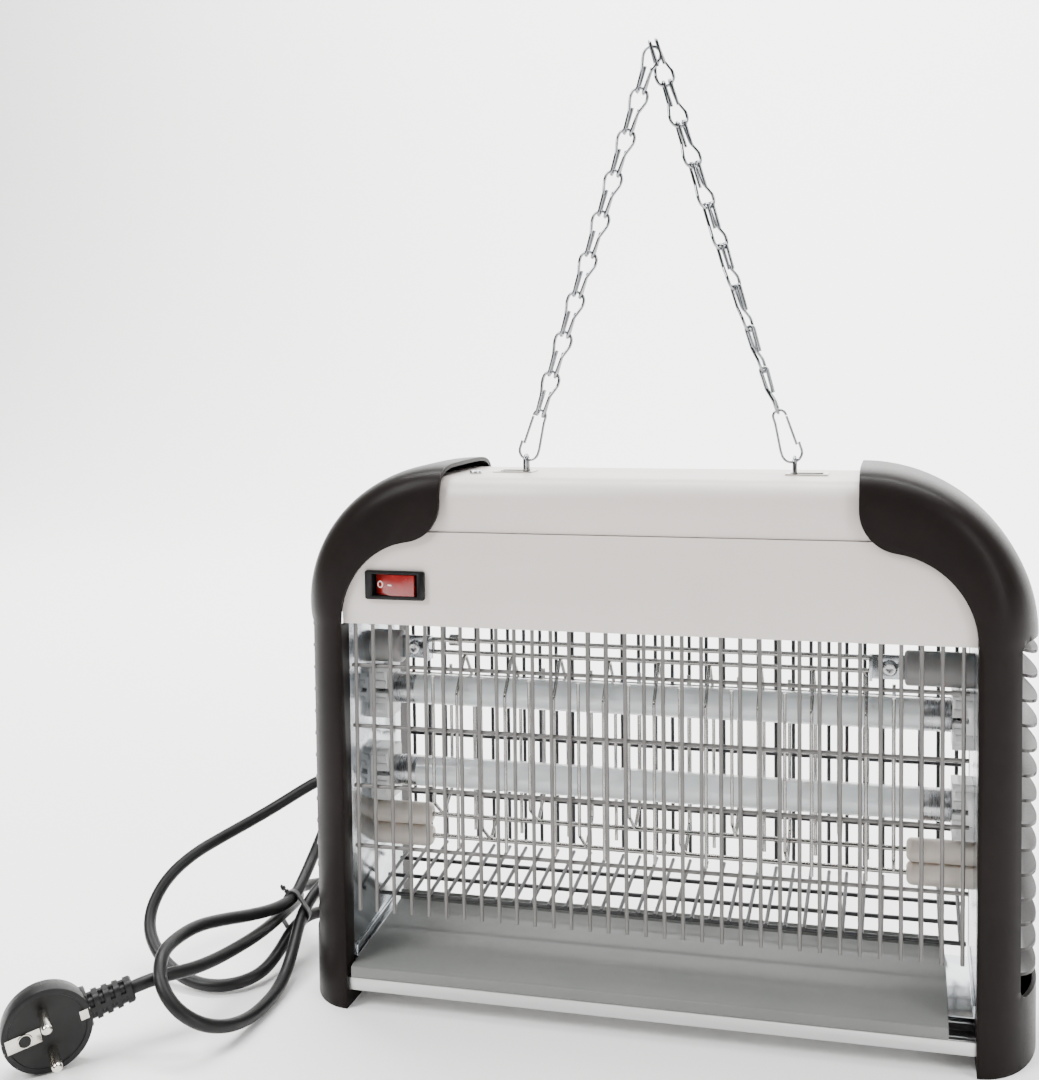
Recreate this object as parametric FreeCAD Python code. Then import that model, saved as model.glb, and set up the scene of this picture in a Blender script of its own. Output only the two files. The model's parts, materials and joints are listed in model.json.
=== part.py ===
import FreeCAD
import Part
import math
import os

# Electric bug zapper: two UV tubes and a high-voltage grid between two end caps, with a hanging
# chain and a mains cord.
# Millimetres. +Z up, the switch side faces -Y, +X towards the right end cap seen from that side.
# The origin is on the surface the feet stand on, under the middle of the body.

V = FreeCAD.Vector

# ---- driving dimensions ----
inner_half = 154.5          # half the clear width between the end caps
cap_width = 29.5            # how far a cap reaches outwards
half_depth = 44.5           # half the depth of a cap
corner_x = 103.0            # centre of the cap's big corner
corner_z = 197.0
cap_wall = 2.0
corner_inner = inner_half - corner_x
foot_floor = 3.0            # thickness of the foot's sole
flange_top = 20.0           # top of the solid wall at the foot of a cap
rim_depth = 34.0            # where a cap's inner rim stops, measured from the middle

cover_top = 272.0           # outer face of the top cover
cover_half = 40.8           # half the outer depth of the cover
cover_round = 11.8          # radius of the cover's shoulders
sheet = 1.0
seam_z = 245.0              # seam between the cover and the front and rear panels
panel_bottom = 198.0
panel_face = 42.0           # outer face of the front and rear panels

rail_z = 9.4                # underside of the bottom rail
foot_screw_z = 13.4

wire_pitch = 9.27           # pitch of the guard wires
wire_count = 33
wire_r = 1.0
guard_y = 39.5              # middle plane of the guard wires, front and rear
front_tips_z = 50.0
guard_top = 204.0

lamp_r = 8.0                # T5 tube
lamp_half = 144.0           # half the length over the lamp's metal ends
lamp_z = (155.6, 111.2)
pin_offset = 2.375          # G5 base
pin_r = 1.175
pin_length = 7.1
fit = 0.05                  # running clearance

bar_r = 1.25
upper_bar_z = (182.3, 175.7)
lower_bar_z = (88.0, 76.4)
rod_r = 0.9
rod_pitch = 13.0
rod_y = 14.0                # how far the rods stand in front of and behind the tubes

switch_x = -125.4
switch_z = 218.3

eye_x = 69.0
swing_z = 278.6             # axis about which the chain swings
apex_z = 485.4              # where the chain's two strands meet
clip_length = 26.6
chain_wire = 0.65
link_count = 9

cord_r = 3.25


# ---- small helpers ----
def box(x0, x1, y0, y1, z0, z1):
    return Part.makeBox(x1 - x0, y1 - y0, z1 - z0, V(x0, y0, z0))


def rod(start, end, radius):
    along = V(*end) - V(*start)
    return Part.makeCylinder(radius, along.Length, V(*start), along)


def fuse(shapes):
    first = shapes[0]
    return first.multiFuse(shapes[1:]).removeSplitter()


def mirror_x(shape):
    return shape.mirror(V(0, 0, 0), V(1, 0, 0))


def both_sides(shape):
    return [shape, mirror_x(shape)]


def plate_xz(points, y0, y1):
    # a flat outline in the XZ plane, made solid from y0 to y1
    corners = [V(x, y0, z) for x, z in points]
    face = Part.Face(Part.makePolygon(corners + corners[:1]))
    return face.extrude(V(0, y1 - y0, 0))


def bar_yz(points, x0, x1):
    # a flat outline in the YZ plane, made solid from x0 to x1
    corners = [V(x0, y, z) for y, z in points]
    face = Part.Face(Part.makePolygon(corners + corners[:1]))
    return face.extrude(V(x1 - x0, 0, 0))


def sheet_path(points, thickness):
    # outline of a bent sheet: the given outer line and the same line moved to its left
    moved = []
    for i, point in enumerate(points):
        before = points[max(i - 1, 0)]
        after = points[min(i + 1, len(points) - 1)]
        first = (point[0] - before[0], point[1] - before[1])
        second = (after[0] - point[0], after[1] - point[1])
        if i == 0:
            first = second
        if i == len(points) - 1:
            second = first
        a = math.atan2(first[1], first[0])
        b = math.atan2(second[1], second[0])
        turn = (b - a + math.pi) % (2 * math.pi) - math.pi
        middle = a + turn / 2 + math.pi / 2
        reach = thickness / math.cos(turn / 2)
        moved.append((point[0] + reach * math.cos(middle), point[1] + reach * math.sin(middle)))
    return points + moved[::-1]


def round_path(points, radii):
    # straight runs joined by tangent arcs; radii holds one radius for each inner point
    edges = []
    start = points[0]
    for i in range(1, len(points) - 1):
        corner = points[i]
        back = (points[i - 1] - corner).normalize()
        ahead = (points[i + 1] - corner).normalize()
        half_turn = (math.pi - back.getAngle(ahead)) / 2
        tangent = radii[i - 1] * math.tan(half_turn)
        enter = corner + back * tangent
        leave = corner + ahead * tangent
        inward = (back + ahead).normalize()
        centre = corner + inward * (radii[i - 1] / math.cos(half_turn))
        middle = centre - inward * radii[i - 1]
        if (enter - start).Length > 1e-4:
            edges.append(Part.LineSegment(start, enter).toShape())
        edges.append(Part.Arc(enter, middle, leave).toShape())
        start = leave
    edges.append(Part.LineSegment(start, points[-1]).toShape())
    return Part.Wire(edges)


def wire_solid(points, radii, radius):
    path = round_path(points, radii)
    along = (points[1] - points[0]).normalize()
    ring = Part.Wire(Part.makeCircle(radius, points[0], along))
    return path.makePipeShell([ring], True, False)


nodes = {}


def group(shapes):
    return Part.makeCompound(shapes)


# ---- end caps ----
# A cap is a hollow half-ellipse post that turns a large corner and ends in an ear over the
# top cover. Along the corner its section changes from a half ellipse to a squarer one.
square_post = 2.0
square_ear = 5.0
ear_end_x = 101.5
section_in = 40.0           # where a section starts, measured from the corner's centre
hollow_in = 36.0
section_steps = 24


def cap_section(turn, inset, depth_in):
    squareness = square_post + (square_ear - square_post) * turn / 90.0
    width = cap_width - inset
    depth = half_depth - inset
    outline = []
    for i in range(section_steps + 1):
        a = math.radians(-90 + 180.0 * i / section_steps)
        across = abs(math.cos(a) / width) ** squareness
        deep = abs(math.sin(a) / depth) ** squareness
        reach = (across + deep) ** (-1 / squareness)
        outline.append((corner_inner + reach * math.cos(a), reach * math.sin(a)))
    angle = math.radians(turn)

    def place(r, y):
        return V(corner_x + r * math.cos(angle), y, corner_z + r * math.sin(angle))

    outward = V(math.cos(angle), 0, math.sin(angle))
    curve = Part.BSplineCurve()
    curve.interpolate(Points=[place(*p) for p in outline],
                      InitialTangent=outward * 20, FinalTangent=outward * -20)
    near = place(depth_in, -depth)
    far = place(depth_in, depth)
    edges = [Part.LineSegment(near, place(*outline[0])).toShape(), curve.toShape(),
             Part.LineSegment(place(*outline[-1]), far).toShape(),
             Part.LineSegment(far, near).toShape()]
    return Part.Wire(edges)


def cap_volume(inset, depth_in, post_bottom, ear_x, post_x):
    turns = (0, 22.5, 45, 67.5, 90)
    corner = Part.makeLoft([cap_section(t, inset, depth_in) for t in turns], True, False)
    ear = Part.Face(cap_section(90, inset, depth_in)).extrude(V(ear_x - corner_x, 0, 0))
    post = Part.Face(cap_section(0, inset, depth_in)).extrude(V(0, 0, post_bottom - corner_z))
    post = post.common(box(post_x, 200, -60, 60, post_bottom, corner_z))
    return corner, ear, post


def ear_cut():
    # everything on the body's side of the S-shaped edge of the ear and of the corner
    lower_r = 42.0
    lower_x = inner_half - lower_r
    upper_r = 19.5
    upper_centre = V(ear_end_x + upper_r, 0, 259.5)
    lean = math.radians(262)
    join = upper_centre + V(math.cos(lean), 0, math.sin(lean)) * upper_r
    lower_centre = join + (join - upper_centre).normalize() * lower_r
    upper_mid = upper_centre + V(math.cos((math.pi + lean) / 2), 0,
                                 math.sin((math.pi + lean) / 2)) * upper_r
    start_angle = lean - math.pi
    end_angle = 0.0
    mid_angle = (start_angle + end_angle) / 2
    lower_mid = lower_centre + V(math.cos(mid_angle), 0, math.sin(mid_angle)) * lower_r
    lower_end = lower_centre + V(lower_r, 0, 0)
    top = V(ear_end_x, 0, 300)
    edges = [Part.LineSegment(top, V(ear_end_x, 0, upper_centre.z)).toShape(),
             Part.Arc(V(ear_end_x, 0, upper_centre.z), upper_mid, join).toShape(),
             Part.Arc(join, lower_mid, lower_end).toShape(),
             Part.LineSegment(lower_end, V(lower_end.x, 0, 150)).toShape(),
             Part.LineSegment(V(lower_end.x, 0, 150), V(60, 0, 150)).toShape(),
             Part.LineSegment(V(60, 0, 150), V(60, 0, 300)).toShape(),
             Part.LineSegment(V(60, 0, 300), top).toShape()]
    face = Part.Face(Part.Wire(edges))
    face.translate(V(0, -60, 0))
    return face.extrude(V(0, 120, 0))


vent_count = 14
vent_pitch = 11.6
vent_low = 33.0             # ends of the tall opening in a cap's outer side
vent_high = 199.0
vent_half = 33.0
blade_thick = 1.5
blade_drop = 7.0            # how far a blade's outer edge hangs below its inner one
blade_in = 171.0
blade_set_back = 0.3        # how far the blades' outer edges lie inside the cap's surface
boss_r = 6.0
foot_screw_r = 1.85
head_depth = 7.0            # where the foot screw's head sits, outside the body's side


def vent_blades():
    # louvre blades that follow the cap's plan and slope down outwards
    outline = cap_volume(blade_set_back, section_in, 0.0, ear_end_x, inner_half)
    solid = outline[2].fuse(outline[0]).common(box(blade_in, 200, -vent_half - 1, vent_half + 1, 0, 260))
    blades = []
    out = inner_half + cap_width + 2
    slope = blade_drop / (inner_half + cap_width - blade_in)
    for k in range(vent_count):
        z = vent_low + (k + 0.55) * vent_pitch + blade_drop
        corners = [(blade_in, z), (out, z - (out - blade_in) * slope)]
        profile = corners + [(x, z + blade_thick) for x, z in corners[::-1]]
        blades.append(plate_xz(profile, -60, 60).common(solid))
    return blades


def end_cap(cord_hole):
    outer = cap_volume(0, section_in, 0.0, ear_end_x, inner_half)
    shell = outer[0].fuse([outer[1], outer[2]])
    hollow = cap_volume(cap_wall, hollow_in, foot_floor, 90.0, inner_half + cap_wall)
    for piece in hollow:
        shell = shell.cut(piece)
    # the layer beside the body is open between the two rims, above the solid foot
    shell = shell.cut(box(inner_half - 1, inner_half + cap_wall, -rim_depth, rim_depth, flange_top, 240))
    shell = shell.cut(ear_cut())
    opening = box(blade_in - 3, inner_half + cap_width + 6, -vent_half, vent_half, vent_low, vent_high)
    opening = opening.makeFillet(5.0, [e for e in opening.Edges if e.BoundBox.XLength > 20])
    shell = shell.cut(opening).fuse(vent_blades())
    boss = rod((inner_half + 1, 0, foot_screw_z), (inner_half + cap_width - 1, 0, foot_screw_z), boss_r)
    shell = shell.fuse(boss)
    # a clearance hole for the foot screw and a wider one for its head
    shell = shell.cut(rod((inner_half - 1, 0, foot_screw_z), (190, 0, foot_screw_z), foot_screw_r + 0.25))
    shell = shell.cut(rod((inner_half + head_depth, 0, foot_screw_z), (190, 0, foot_screw_z), 4.2))
    if cord_hole:
        shell = shell.cut(cord_hole)
    return shell


# The cord leaves the left cap at its rear outer side.
gland_turn = math.radians(55)
gland_z = 130.0
gland_foot = V(-inner_half - cap_width * math.cos(gland_turn), half_depth * math.sin(gland_turn), gland_z)
gland_way = V(-math.cos(gland_turn) / cap_width, math.sin(gland_turn) / half_depth, 0).normalize()
gland_hole_r = 5.0
gland_hole = Part.makeCylinder(gland_hole_r, 12, gland_foot - gland_way * 6, gland_way)

nodes["right_end_cap"] = end_cap(None)
nodes["left_end_cap"] = mirror_x(end_cap(mirror_x(gland_hole)))

# a bushing with a flange outside, a collar through the cap's wall and a tapered bend-relief sleeve
flange_r = 7.0
flange_thick = 3.0
collar_long = 5.4
sleeve_long = 24.0
gland_out = gland_foot + gland_way * 0.4
gland = Part.makeCylinder(flange_r, flange_thick, gland_out, gland_way)
collar = Part.makeCylinder(gland_hole_r - 0.1, collar_long, gland_foot - gland_way * 5, gland_way)
gland = gland.fuse(collar)
sleeve_end = gland_out + gland_way * sleeve_long
gland = gland.fuse(Part.makeCone(5.4, cord_r + 1.0, sleeve_long - 2, gland_out + gland_way * 2, gland_way))
gland_bore = Part.makeCylinder(cord_r, sleeve_long + 6, gland_foot - gland_way * 10, gland_way)
nodes["cord_gland"] = gland.cut(gland_bore)

# ---- side plates ----
plate_thick = 0.8
plate_top = 240.0
side_plate = box(inner_half, inner_half + plate_thick, -rim_depth + 0.2, rim_depth - 0.2,
                 flange_top + 0.2, plate_top - 0.5)
lead_y = 14.0               # holes for the lamp leads
lead_z = 216.0
lead_hole_r = 1.4
for y in (-lead_y, lead_y):
    side_plate = side_plate.cut(rod((150, y, lead_z), (160, y, lead_z), lead_hole_r))
nodes["right_side_plate"] = side_plate
nodes["left_side_plate"] = mirror_x(side_plate)

# ---- sheet housing above the tubes ----
shell_x = 154.3
flat_half = cover_half - cover_round


def cover_outline(inset):
    top = cover_top - inset
    side = cover_half - inset
    centre_z = cover_top - cover_round
    r = cover_round - inset
    diagonal = r * math.sqrt(0.5)
    foot = seam_z + 0.4
    edges = [Part.LineSegment(V(0, -side, foot), V(0, -side, centre_z)).toShape(),
             Part.Arc(V(0, -side, centre_z), V(0, -flat_half - diagonal, centre_z + diagonal),
                      V(0, -flat_half, top)).toShape(),
             Part.LineSegment(V(0, -flat_half, top), V(0, flat_half, top)).toShape(),
             Part.Arc(V(0, flat_half, top), V(0, flat_half + diagonal, centre_z + diagonal),
                      V(0, side, centre_z)).toShape(),
             Part.LineSegment(V(0, side, centre_z), V(0, side, foot)).toShape(),
             Part.LineSegment(V(0, side, foot), V(0, -side, foot)).toShape()]
    face = Part.Face(Part.Wire(edges))
    face.translate(V(-shell_x, 0, 0))
    return face.extrude(V(2 * shell_x, 0, 0))


def corner_trim(r):
    # a block whose two upper corners follow the caps' big corners from inside
    ends = [Part.makeCylinder(r, 120, V(s * corner_x, -60, corner_z), V(0, 1, 0)) for s in (-1, 1)]
    low = box(-corner_x - r, corner_x + r, -60, 60, 150, corner_z)
    middle = box(-corner_x, corner_x, -60, 60, 150, corner_z + r)
    return middle.fuse(ends + [low])


slot_x0 = 66.0
slot_x1 = 84.0
slot_half = 5.0
cover_end_x = 110.0         # the cover stops here, under the ears
cover = cover_outline(0).cut(cover_outline(sheet))
cover = cover.cut(box(-200, 200, -cover_half + sheet, cover_half - sheet, seam_z - 5, seam_z + 2))
cover = cover.common(box(-cover_end_x, cover_end_x, -60, 60, 200, 300))
for s in (-1, 1):
    low_x = min(s * slot_x0, s * slot_x1)
    cover = cover.cut(box(low_x, low_x + slot_x1 - slot_x0, -slot_half, slot_half, 265, 280))
cover_screw_x = -92.0
cover_screw_y = -14.0
cover = cover.cut(rod((cover_screw_x, cover_screw_y, 260), (cover_screw_x, cover_screw_y, 280), 1.7))
nodes["top_cover"] = cover


def panel(side):
    # main face, seam flange turned inwards behind the cover, and a narrow band bent in at the foot
    outer = [(panel_face - 0.5, panel_bottom), (panel_face, 206.5), (panel_face, seam_z),
             (cover_half - sheet - 0.4, seam_z), (cover_half - sheet - 0.4, seam_z + 6)]
    outline = sheet_path(outer, sheet)
    flat = [(side * y, z) for y, z in outline]
    return bar_yz(flat, -shell_x, shell_x).common(corner_trim(55.0))


cutout_w = 28.0
cutout_h = 12.6
switch_box = box(switch_x - cutout_w / 2 - 0.2, switch_x + cutout_w / 2 + 0.2, -60, -30,
                 switch_z - cutout_h / 2 - 0.2, switch_z + cutout_h / 2 + 0.2)
nodes["front_panel"] = panel(-1).cut(switch_box)
nodes["rear_panel"] = panel(1)

deck_half = 37.0
deck_z = 206.0
nodes["inner_deck"] = box(-154.2, 154.2, -deck_half, deck_half, deck_z, deck_z + sheet)

# ---- bottom rail, tray and its runners ----
rail_front = 42.6
rail_base = 1.5
rail = box(-inner_half, inner_half, -rail_front, rail_front, rail_z, rail_z + rail_base)
rib_thick = 1.4
edge_rib = 6.4
low_rib = 4.6
ribs = []
for y, height in ((-rail_front, edge_rib), (-36.0, low_rib), (-22.0, low_rib), (26.0, low_rib),
                  (rail_front - rib_thick, edge_rib)):
    ribs.append(box(-inner_half, inner_half, y, y + rib_thick, rail_z + 0.5, rail_z + height))
channel = box(-inner_half, inner_half, -5, 5, rail_z + 0.5, foot_screw_z + 3.4)
rail = fuse([rail, channel] + ribs)
screw_channel = rod((-200, 0, foot_screw_z), (200, 0, foot_screw_z), foot_screw_r + 0.1)
nodes["bottom_rail"] = rail.cut(screw_channel)

tray_x0 = -152.0
tray_x1 = 142.0
tray_sheet = 0.8
tray_line = [(-44.4, 16.9), (-44.4, 22.2), (-42.6, 22.9), (23.0, 30.0), (24.6, 35.0)]
tray_profile = sheet_path(tray_line, -tray_sheet)
nodes["tray"] = bar_yz(tray_profile, tray_x0, tray_x1)

runner_depth = 12.0
runner_profile = [(-32.0, 22.5), (20.0, 28.0), (20.0, 27.0), (-32.0, 21.5)]
lip_profile = [(-32.0, 28.0), (20.0, 33.5), (20.0, 27.2), (-32.0, 21.7)]
runners = []
for s in (-1, 1):
    reach = runner_depth + (inner_half - tray_x1 if s > 0 else 0)
    inner_x = s * (inner_half - reach)
    ledge = bar_yz(runner_profile, min(inner_x, s * inner_half), max(inner_x, s * inner_half))
    wall_in = s * (inner_half - 1.0)
    back = bar_yz(lip_profile, min(wall_in, s * inner_half), max(wall_in, s * inner_half))
    runners.append(ledge.fuse(back).removeSplitter())
nodes["tray_runners"] = group(runners)


# ---- guard grilles ----
def wire_xs():
    middle = (wire_count - 1) / 2
    return [(i - middle) * wire_pitch for i in range(wire_count)]


cross_half = 151.0


def upright_guard(y, tip_z, cross_zs, cross_y):
    wires = [rod((x, y, tip_z), (x, y, guard_top), wire_r) for x in wire_xs()]
    wires += [rod((-cross_half, cross_y, z), (cross_half, cross_y, z), wire_r) for z in cross_zs]
    return fuse(wires)


front_cross = (83.0, 114.0, 145.0, 176.0)
rear_cross = (86.0, 120.0, 154.0, 188.0)
rear_tips_z = 60.0
weld = 1.7                  # distance between crossing wires pressed into each other
nodes["front_grille"] = upright_guard(-guard_y, front_tips_z, front_cross, -guard_y + weld)
nodes["rear_grille"] = upright_guard(guard_y, rear_tips_z, rear_cross, guard_y - weld)

floor_rear = (guard_y, 58.0)
floor_front = (-15.0, 50.0)
floor_slope = (floor_rear[1] - floor_front[1]) / (floor_rear[0] - floor_front[0])
floor_wires = [rod((x, floor_front[0], floor_front[1]), (x, floor_rear[0], floor_rear[1]), wire_r)
               for x in wire_xs()]
floor_cross = (22.0, 4.5, -13.0)
for y in floor_cross:
    z = floor_front[1] + (y - floor_front[0]) * floor_slope - weld
    floor_wires.append(rod((-cross_half, y, z), (cross_half, y, z), wire_r + 0.1))
nodes["floor_grille"] = fuse(floor_wires)

# ---- high-voltage grid ----
bend_z = 157.5
upper_tip_z = 76.0
lower_tip_z = 166.0
lower_knee = 11.0


def hairpin(x, bar_z, knee_z, tip_z):
    # a rod welded over a bar, with a leg in front of the tubes and one behind them
    points = [V(x, -rod_y, tip_z), V(x, -rod_y, knee_z), V(x, 0, bar_z), V(x, rod_y, knee_z),
              V(x, rod_y, tip_z)]
    return wire_solid(points, [2.5, 2.5, 2.5], rod_r)


def split_rows(grid, knee_z, sense):
    # the welded grid in flat parts: sloping rods by the bar, and upright rows before and behind
    low_z = knee_z if sense > 0 else knee_z - 300
    near = box(-200, 200, -60, 60, low_z, low_z + 300)
    front = box(-200, 200, -60, 0, 0, 300)
    parts = []
    for part in (grid.common(near), grid.cut(near)):
        parts += part.common(front).Solids + part.cut(front).Solids
    return parts


left_shift = 16.0           # how much further out the upper bars and their bracket reach at the left
upper_bar_x = (-107.5 - left_shift, 107.5)
lower_bar_half = 130.0
upper_rods = [hairpin(x * rod_pitch, upper_bar_z[1], bend_z, upper_tip_z) for x in range(-8, 9, 2)]
upper_bars = [rod((upper_bar_x[0], 0, z), (upper_bar_x[1], 0, z), bar_r) for z in upper_bar_z]
tie_x = (upper_bar_x[0] + 1.5, upper_bar_x[1] - 1.5)
ties = [rod((x, 0, upper_bar_z[1]), (x, 0, upper_bar_z[0]), bar_r) for x in tie_x]
# a collar that clamps the high-voltage lead to the upper bar
ties.append(rod((-112.0, 0, upper_bar_z[0]), (-107.0, 0, upper_bar_z[0]), 3.0))
nodes["upper_grid"] = group(split_rows(fuse(upper_bars + ties + upper_rods), bend_z, 1))

lower_rods = []
for i, k in enumerate(range(-9, 10, 2)):
    bar_z = lower_bar_z[i % 2]
    lower_rods.append(hairpin(k * rod_pitch, bar_z, bar_z + lower_knee, lower_tip_z))
lower_bars = [rod((-lower_bar_half, 0, z), (lower_bar_half, 0, z), bar_r) for z in lower_bar_z]
lower_parts = []
for j, bar_z in enumerate(lower_bar_z):
    lower_parts += split_rows(fuse([lower_bars[j]] + lower_rods[j::2]), bar_z + lower_knee, -1)
nodes["lower_grid"] = group(lower_parts)

# ---- insulators and grid brackets ----
insulator_z = 178.0
insulator_r = 8.6
insulator_in = 122.0
lug_in = 109.8
bracket_screw_x = 115.0


def upper_insulator(shift):
    end = insulator_in + shift
    body = rod((end, 0, insulator_z), (inner_half, 0, insulator_z), insulator_r)
    body = body.makeFillet(2.0, [e for e in body.Edges if e.BoundBox.XMax < end + 0.1])
    body = body.fuse(box(lug_in + shift, end + 2, -1.2, 5.0, insulator_z - 4.5, insulator_z + 4.5))
    screw_x = bracket_screw_x + shift
    return body.cut(rod((screw_x, -2, insulator_z), (screw_x, 6, insulator_z), 1.6))


def left_and_right(make):
    return group([mirror_x(make(left_shift)), make(0.0)])


nodes["upper_insulators"] = left_and_right(upper_insulator)

lower_insulator_r = 5.8
lower_insulator_in = 123.0
lower_insulators = []
for z in lower_bar_z:
    body = rod((lower_insulator_in, 0, z), (inner_half, 0, z), lower_insulator_r)
    body = body.makeFillet(3.0, [e for e in body.Edges if e.BoundBox.XMax < lower_insulator_in + 0.1])
    body = body.cut(rod((lower_insulator_in - 3, 0, z), (lower_bar_half + 1, 0, z), bar_r + fit))
    lower_insulators += both_sides(body)
nodes["lower_insulators"] = group(lower_insulators)

bracket_in = 105.3
bracket_thick = 1.4
bracket_z0 = 172.5
bracket_z1 = 184.5


def grid_bracket(shift):
    start = bracket_in + shift
    plate = box(start, insulator_in + shift, -1.3 - bracket_thick, -1.3, bracket_z0, bracket_z1)
    turned_edge = box(start, start + bracket_thick, -8.0, -1.3, bracket_z0, bracket_z1)
    screw_x = bracket_screw_x + shift
    hole = rod((screw_x, -9, insulator_z), (screw_x, 6, insulator_z), 1.7)
    return plate.fuse(turned_edge).removeSplitter().cut(hole)


nodes["grid_brackets"] = left_and_right(grid_bracket)


def pan_screw(head_at, way, head_r, head_h, shank_r, length):
    way = V(*way)
    head = Part.makeCylinder(head_r, head_h, V(*head_at), way)
    head = head.makeFillet(head_h * 0.6, [head.Edges[0]])
    shank = Part.makeCylinder(shank_r, length, V(*head_at), way * -1)
    recess = head_r * 0.9
    slot_a = box(-recess / 2, recess / 2, -0.4, 0.4, head_h - 1.0, head_h + 1)
    slot_b = box(-0.4, 0.4, -recess / 2, recess / 2, head_h - 1.0, head_h + 1)
    cross = slot_a.fuse(slot_b)
    cross.Placement = FreeCAD.Placement(V(*head_at), FreeCAD.Rotation(V(0, 0, 1), way))
    return head.fuse(shank).cut(cross)


def bracket_screw(shift):
    return pan_screw((bracket_screw_x + shift, -2.7, insulator_z), (0, -1, 0), 3.8, 2.4, 1.5, 7.5)


nodes["bracket_screws"] = left_and_right(bracket_screw)
nodes["foot_screws"] = group(both_sides(
    pan_screw((inner_half + head_depth, 0, foot_screw_z), (1, 0, 0), 3.6, 2.4, foot_screw_r, 18)))
nodes["cover_screw"] = pan_screw((cover_screw_x, cover_screw_y, cover_top), (0, 0, 1), 3.0, 1.8, 1.5, 6)

# ---- lamps and lamp holders ----
holder_depth = 10.2
holder_x = inner_half - holder_depth
track_depth = 7.6


def lamp_holder(z):
    block = box(holder_x, inner_half, -9.5, 9.5, z - 15, z + 13)
    upright = [e for e in block.Edges if e.BoundBox.XLength > 5]
    block = block.makeFillet(3.0, upright)
    # a ring track lets the two pins turn a quarter turn; a slot lets them in from the front
    track = rod((holder_x - 1, 0, z), (holder_x + track_depth, 0, z), pin_offset + pin_r + fit)
    hub = rod((holder_x - 2, 0, z), (holder_x + track_depth + 1, 0, z), pin_offset - pin_r - fit)
    slot = box(holder_x - 1, holder_x + track_depth, -20, -2, z - 1.25, z + 1.25)
    return block.cut(track.cut(hub)).cut(slot)


lamp_names = ("upper", "lower")
for name, z in zip(lamp_names, lamp_z):
    holder = lamp_holder(z)
    nodes["right_" + name + "_lamp_holder"] = holder
    nodes["left_" + name + "_lamp_holder"] = mirror_x(holder)
    ferrule_in = lamp_half - 14.0
    glass = rod((-ferrule_in, 0, z), (ferrule_in, 0, z), lamp_r)
    tube_bore = rod((-ferrule_in + 3, 0, z), (ferrule_in - 3, 0, z), lamp_r - 0.7)
    nodes[name + "_lamp_tube"] = glass.cut(tube_bore)
    # each metal end carries its two pins
    end_parts = [rod((ferrule_in, 0, z), (lamp_half, 0, z), lamp_r)]
    for dz in (-pin_offset, pin_offset):
        end_parts.append(rod((lamp_half - 1, 0, z + dz), (lamp_half + pin_length, 0, z + dz), pin_r))
    nodes[name + "_lamp_ends"] = group(both_sides(fuse(end_parts)))

# ---- rocker switch ----
bezel_w = 31.4
bezel_h = 14.6
bezel_proud = 2.0
rocker_w = 22.6
rocker_gap = 0.6            # between the rocker's ends and its window
rocker_h = 10.4
pivot_y = -panel_face + 1.6
pivot_r = 1.0
rocker_rest = 10.0          # the rocker rests pressed in at its left end
bezel = box(switch_x - bezel_w / 2, switch_x + bezel_w / 2,
            -panel_face - bezel_proud, -panel_face - 0.05,
            switch_z - bezel_h / 2, switch_z + bezel_h / 2)
bezel = bezel.makeFillet(1.2, [e for e in bezel.Edges if e.BoundBox.YLength > 1.5])
window = box(switch_x - rocker_w / 2 - rocker_gap, switch_x + rocker_w / 2 + rocker_gap, -50, -20,
             switch_z - rocker_h / 2 - 0.3, switch_z + rocker_h / 2 + 0.3)
nodes["switch_bezel"] = bezel.cut(window)
case_back = -26.0
case = box(switch_x - cutout_w / 2, switch_x + cutout_w / 2, -panel_face, case_back,
           switch_z - cutout_h / 2, switch_z + cutout_h / 2)
hollow = box(switch_x - rocker_w / 2 - rocker_gap, switch_x + rocker_w / 2 + rocker_gap, -50, case_back - 3,
             switch_z - rocker_h / 2 - 0.3, switch_z + rocker_h / 2 + 0.3)
pivot_half = rocker_h / 2 + 0.4
pivot = rod((switch_x, pivot_y, switch_z - pivot_half), (switch_x, pivot_y, switch_z + pivot_half), pivot_r)
nodes["switch_body"] = case.cut(hollow).fuse(pivot).removeSplitter()
rocker_points = [(-rocker_w / 2 + 0.4, -1.9), (0, -4.1), (rocker_w / 2 - 0.4, -1.9),
                 (rocker_w / 2 - 0.6, 0.6), (3.2, 3.4), (-3.2, 3.4), (-rocker_w / 2 + 0.6, 0.6)]
rocker_foot = switch_z - rocker_h / 2
rocker_corners = [V(x + switch_x, y + pivot_y, rocker_foot) for x, y in rocker_points]
rocker = Part.Face(Part.makePolygon(rocker_corners + rocker_corners[:1])).extrude(V(0, 0, rocker_h))
pivot_bore = rod((switch_x, pivot_y, switch_z - 20), (switch_x, pivot_y, switch_z + 20), pivot_r + fit)
rocker = rocker.cut(pivot_bore)
rocker.rotate(V(switch_x, pivot_y, 0), V(0, 0, 1), -rocker_rest)
nodes["switch_rocker"] = rocker
# 6.3 mm blade terminals
terminals = []
for x in (switch_x - 9, switch_x, switch_x + 9):
    terminals.append(box(x - 0.4, x + 0.4, case_back, case_back + 8, switch_z - 3.15, switch_z + 3.15))
nodes["switch_terminals"] = group(terminals)

# ---- hanging eyes ----
rim_wall = 1.0


def slot_rim(s):
    low_x = min(s * slot_x0, s * slot_x1)
    high_x = low_x + slot_x1 - slot_x0
    rim_top = cover_top + 0.8
    outside = box(low_x - 1.4, high_x + 1.4, -slot_half - 1.4, slot_half + 1.4, cover_top, rim_top)
    collar = box(low_x + 0.1, high_x - 0.1, -slot_half + 0.1, slot_half - 0.1, cover_top - 2.2, rim_top)
    hole = box(low_x + rim_wall, high_x - rim_wall, -slot_half + rim_wall, slot_half - rim_wall,
               cover_top - 5, cover_top + 5)
    return outside.fuse(collar).removeSplitter().cut(hole)


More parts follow.
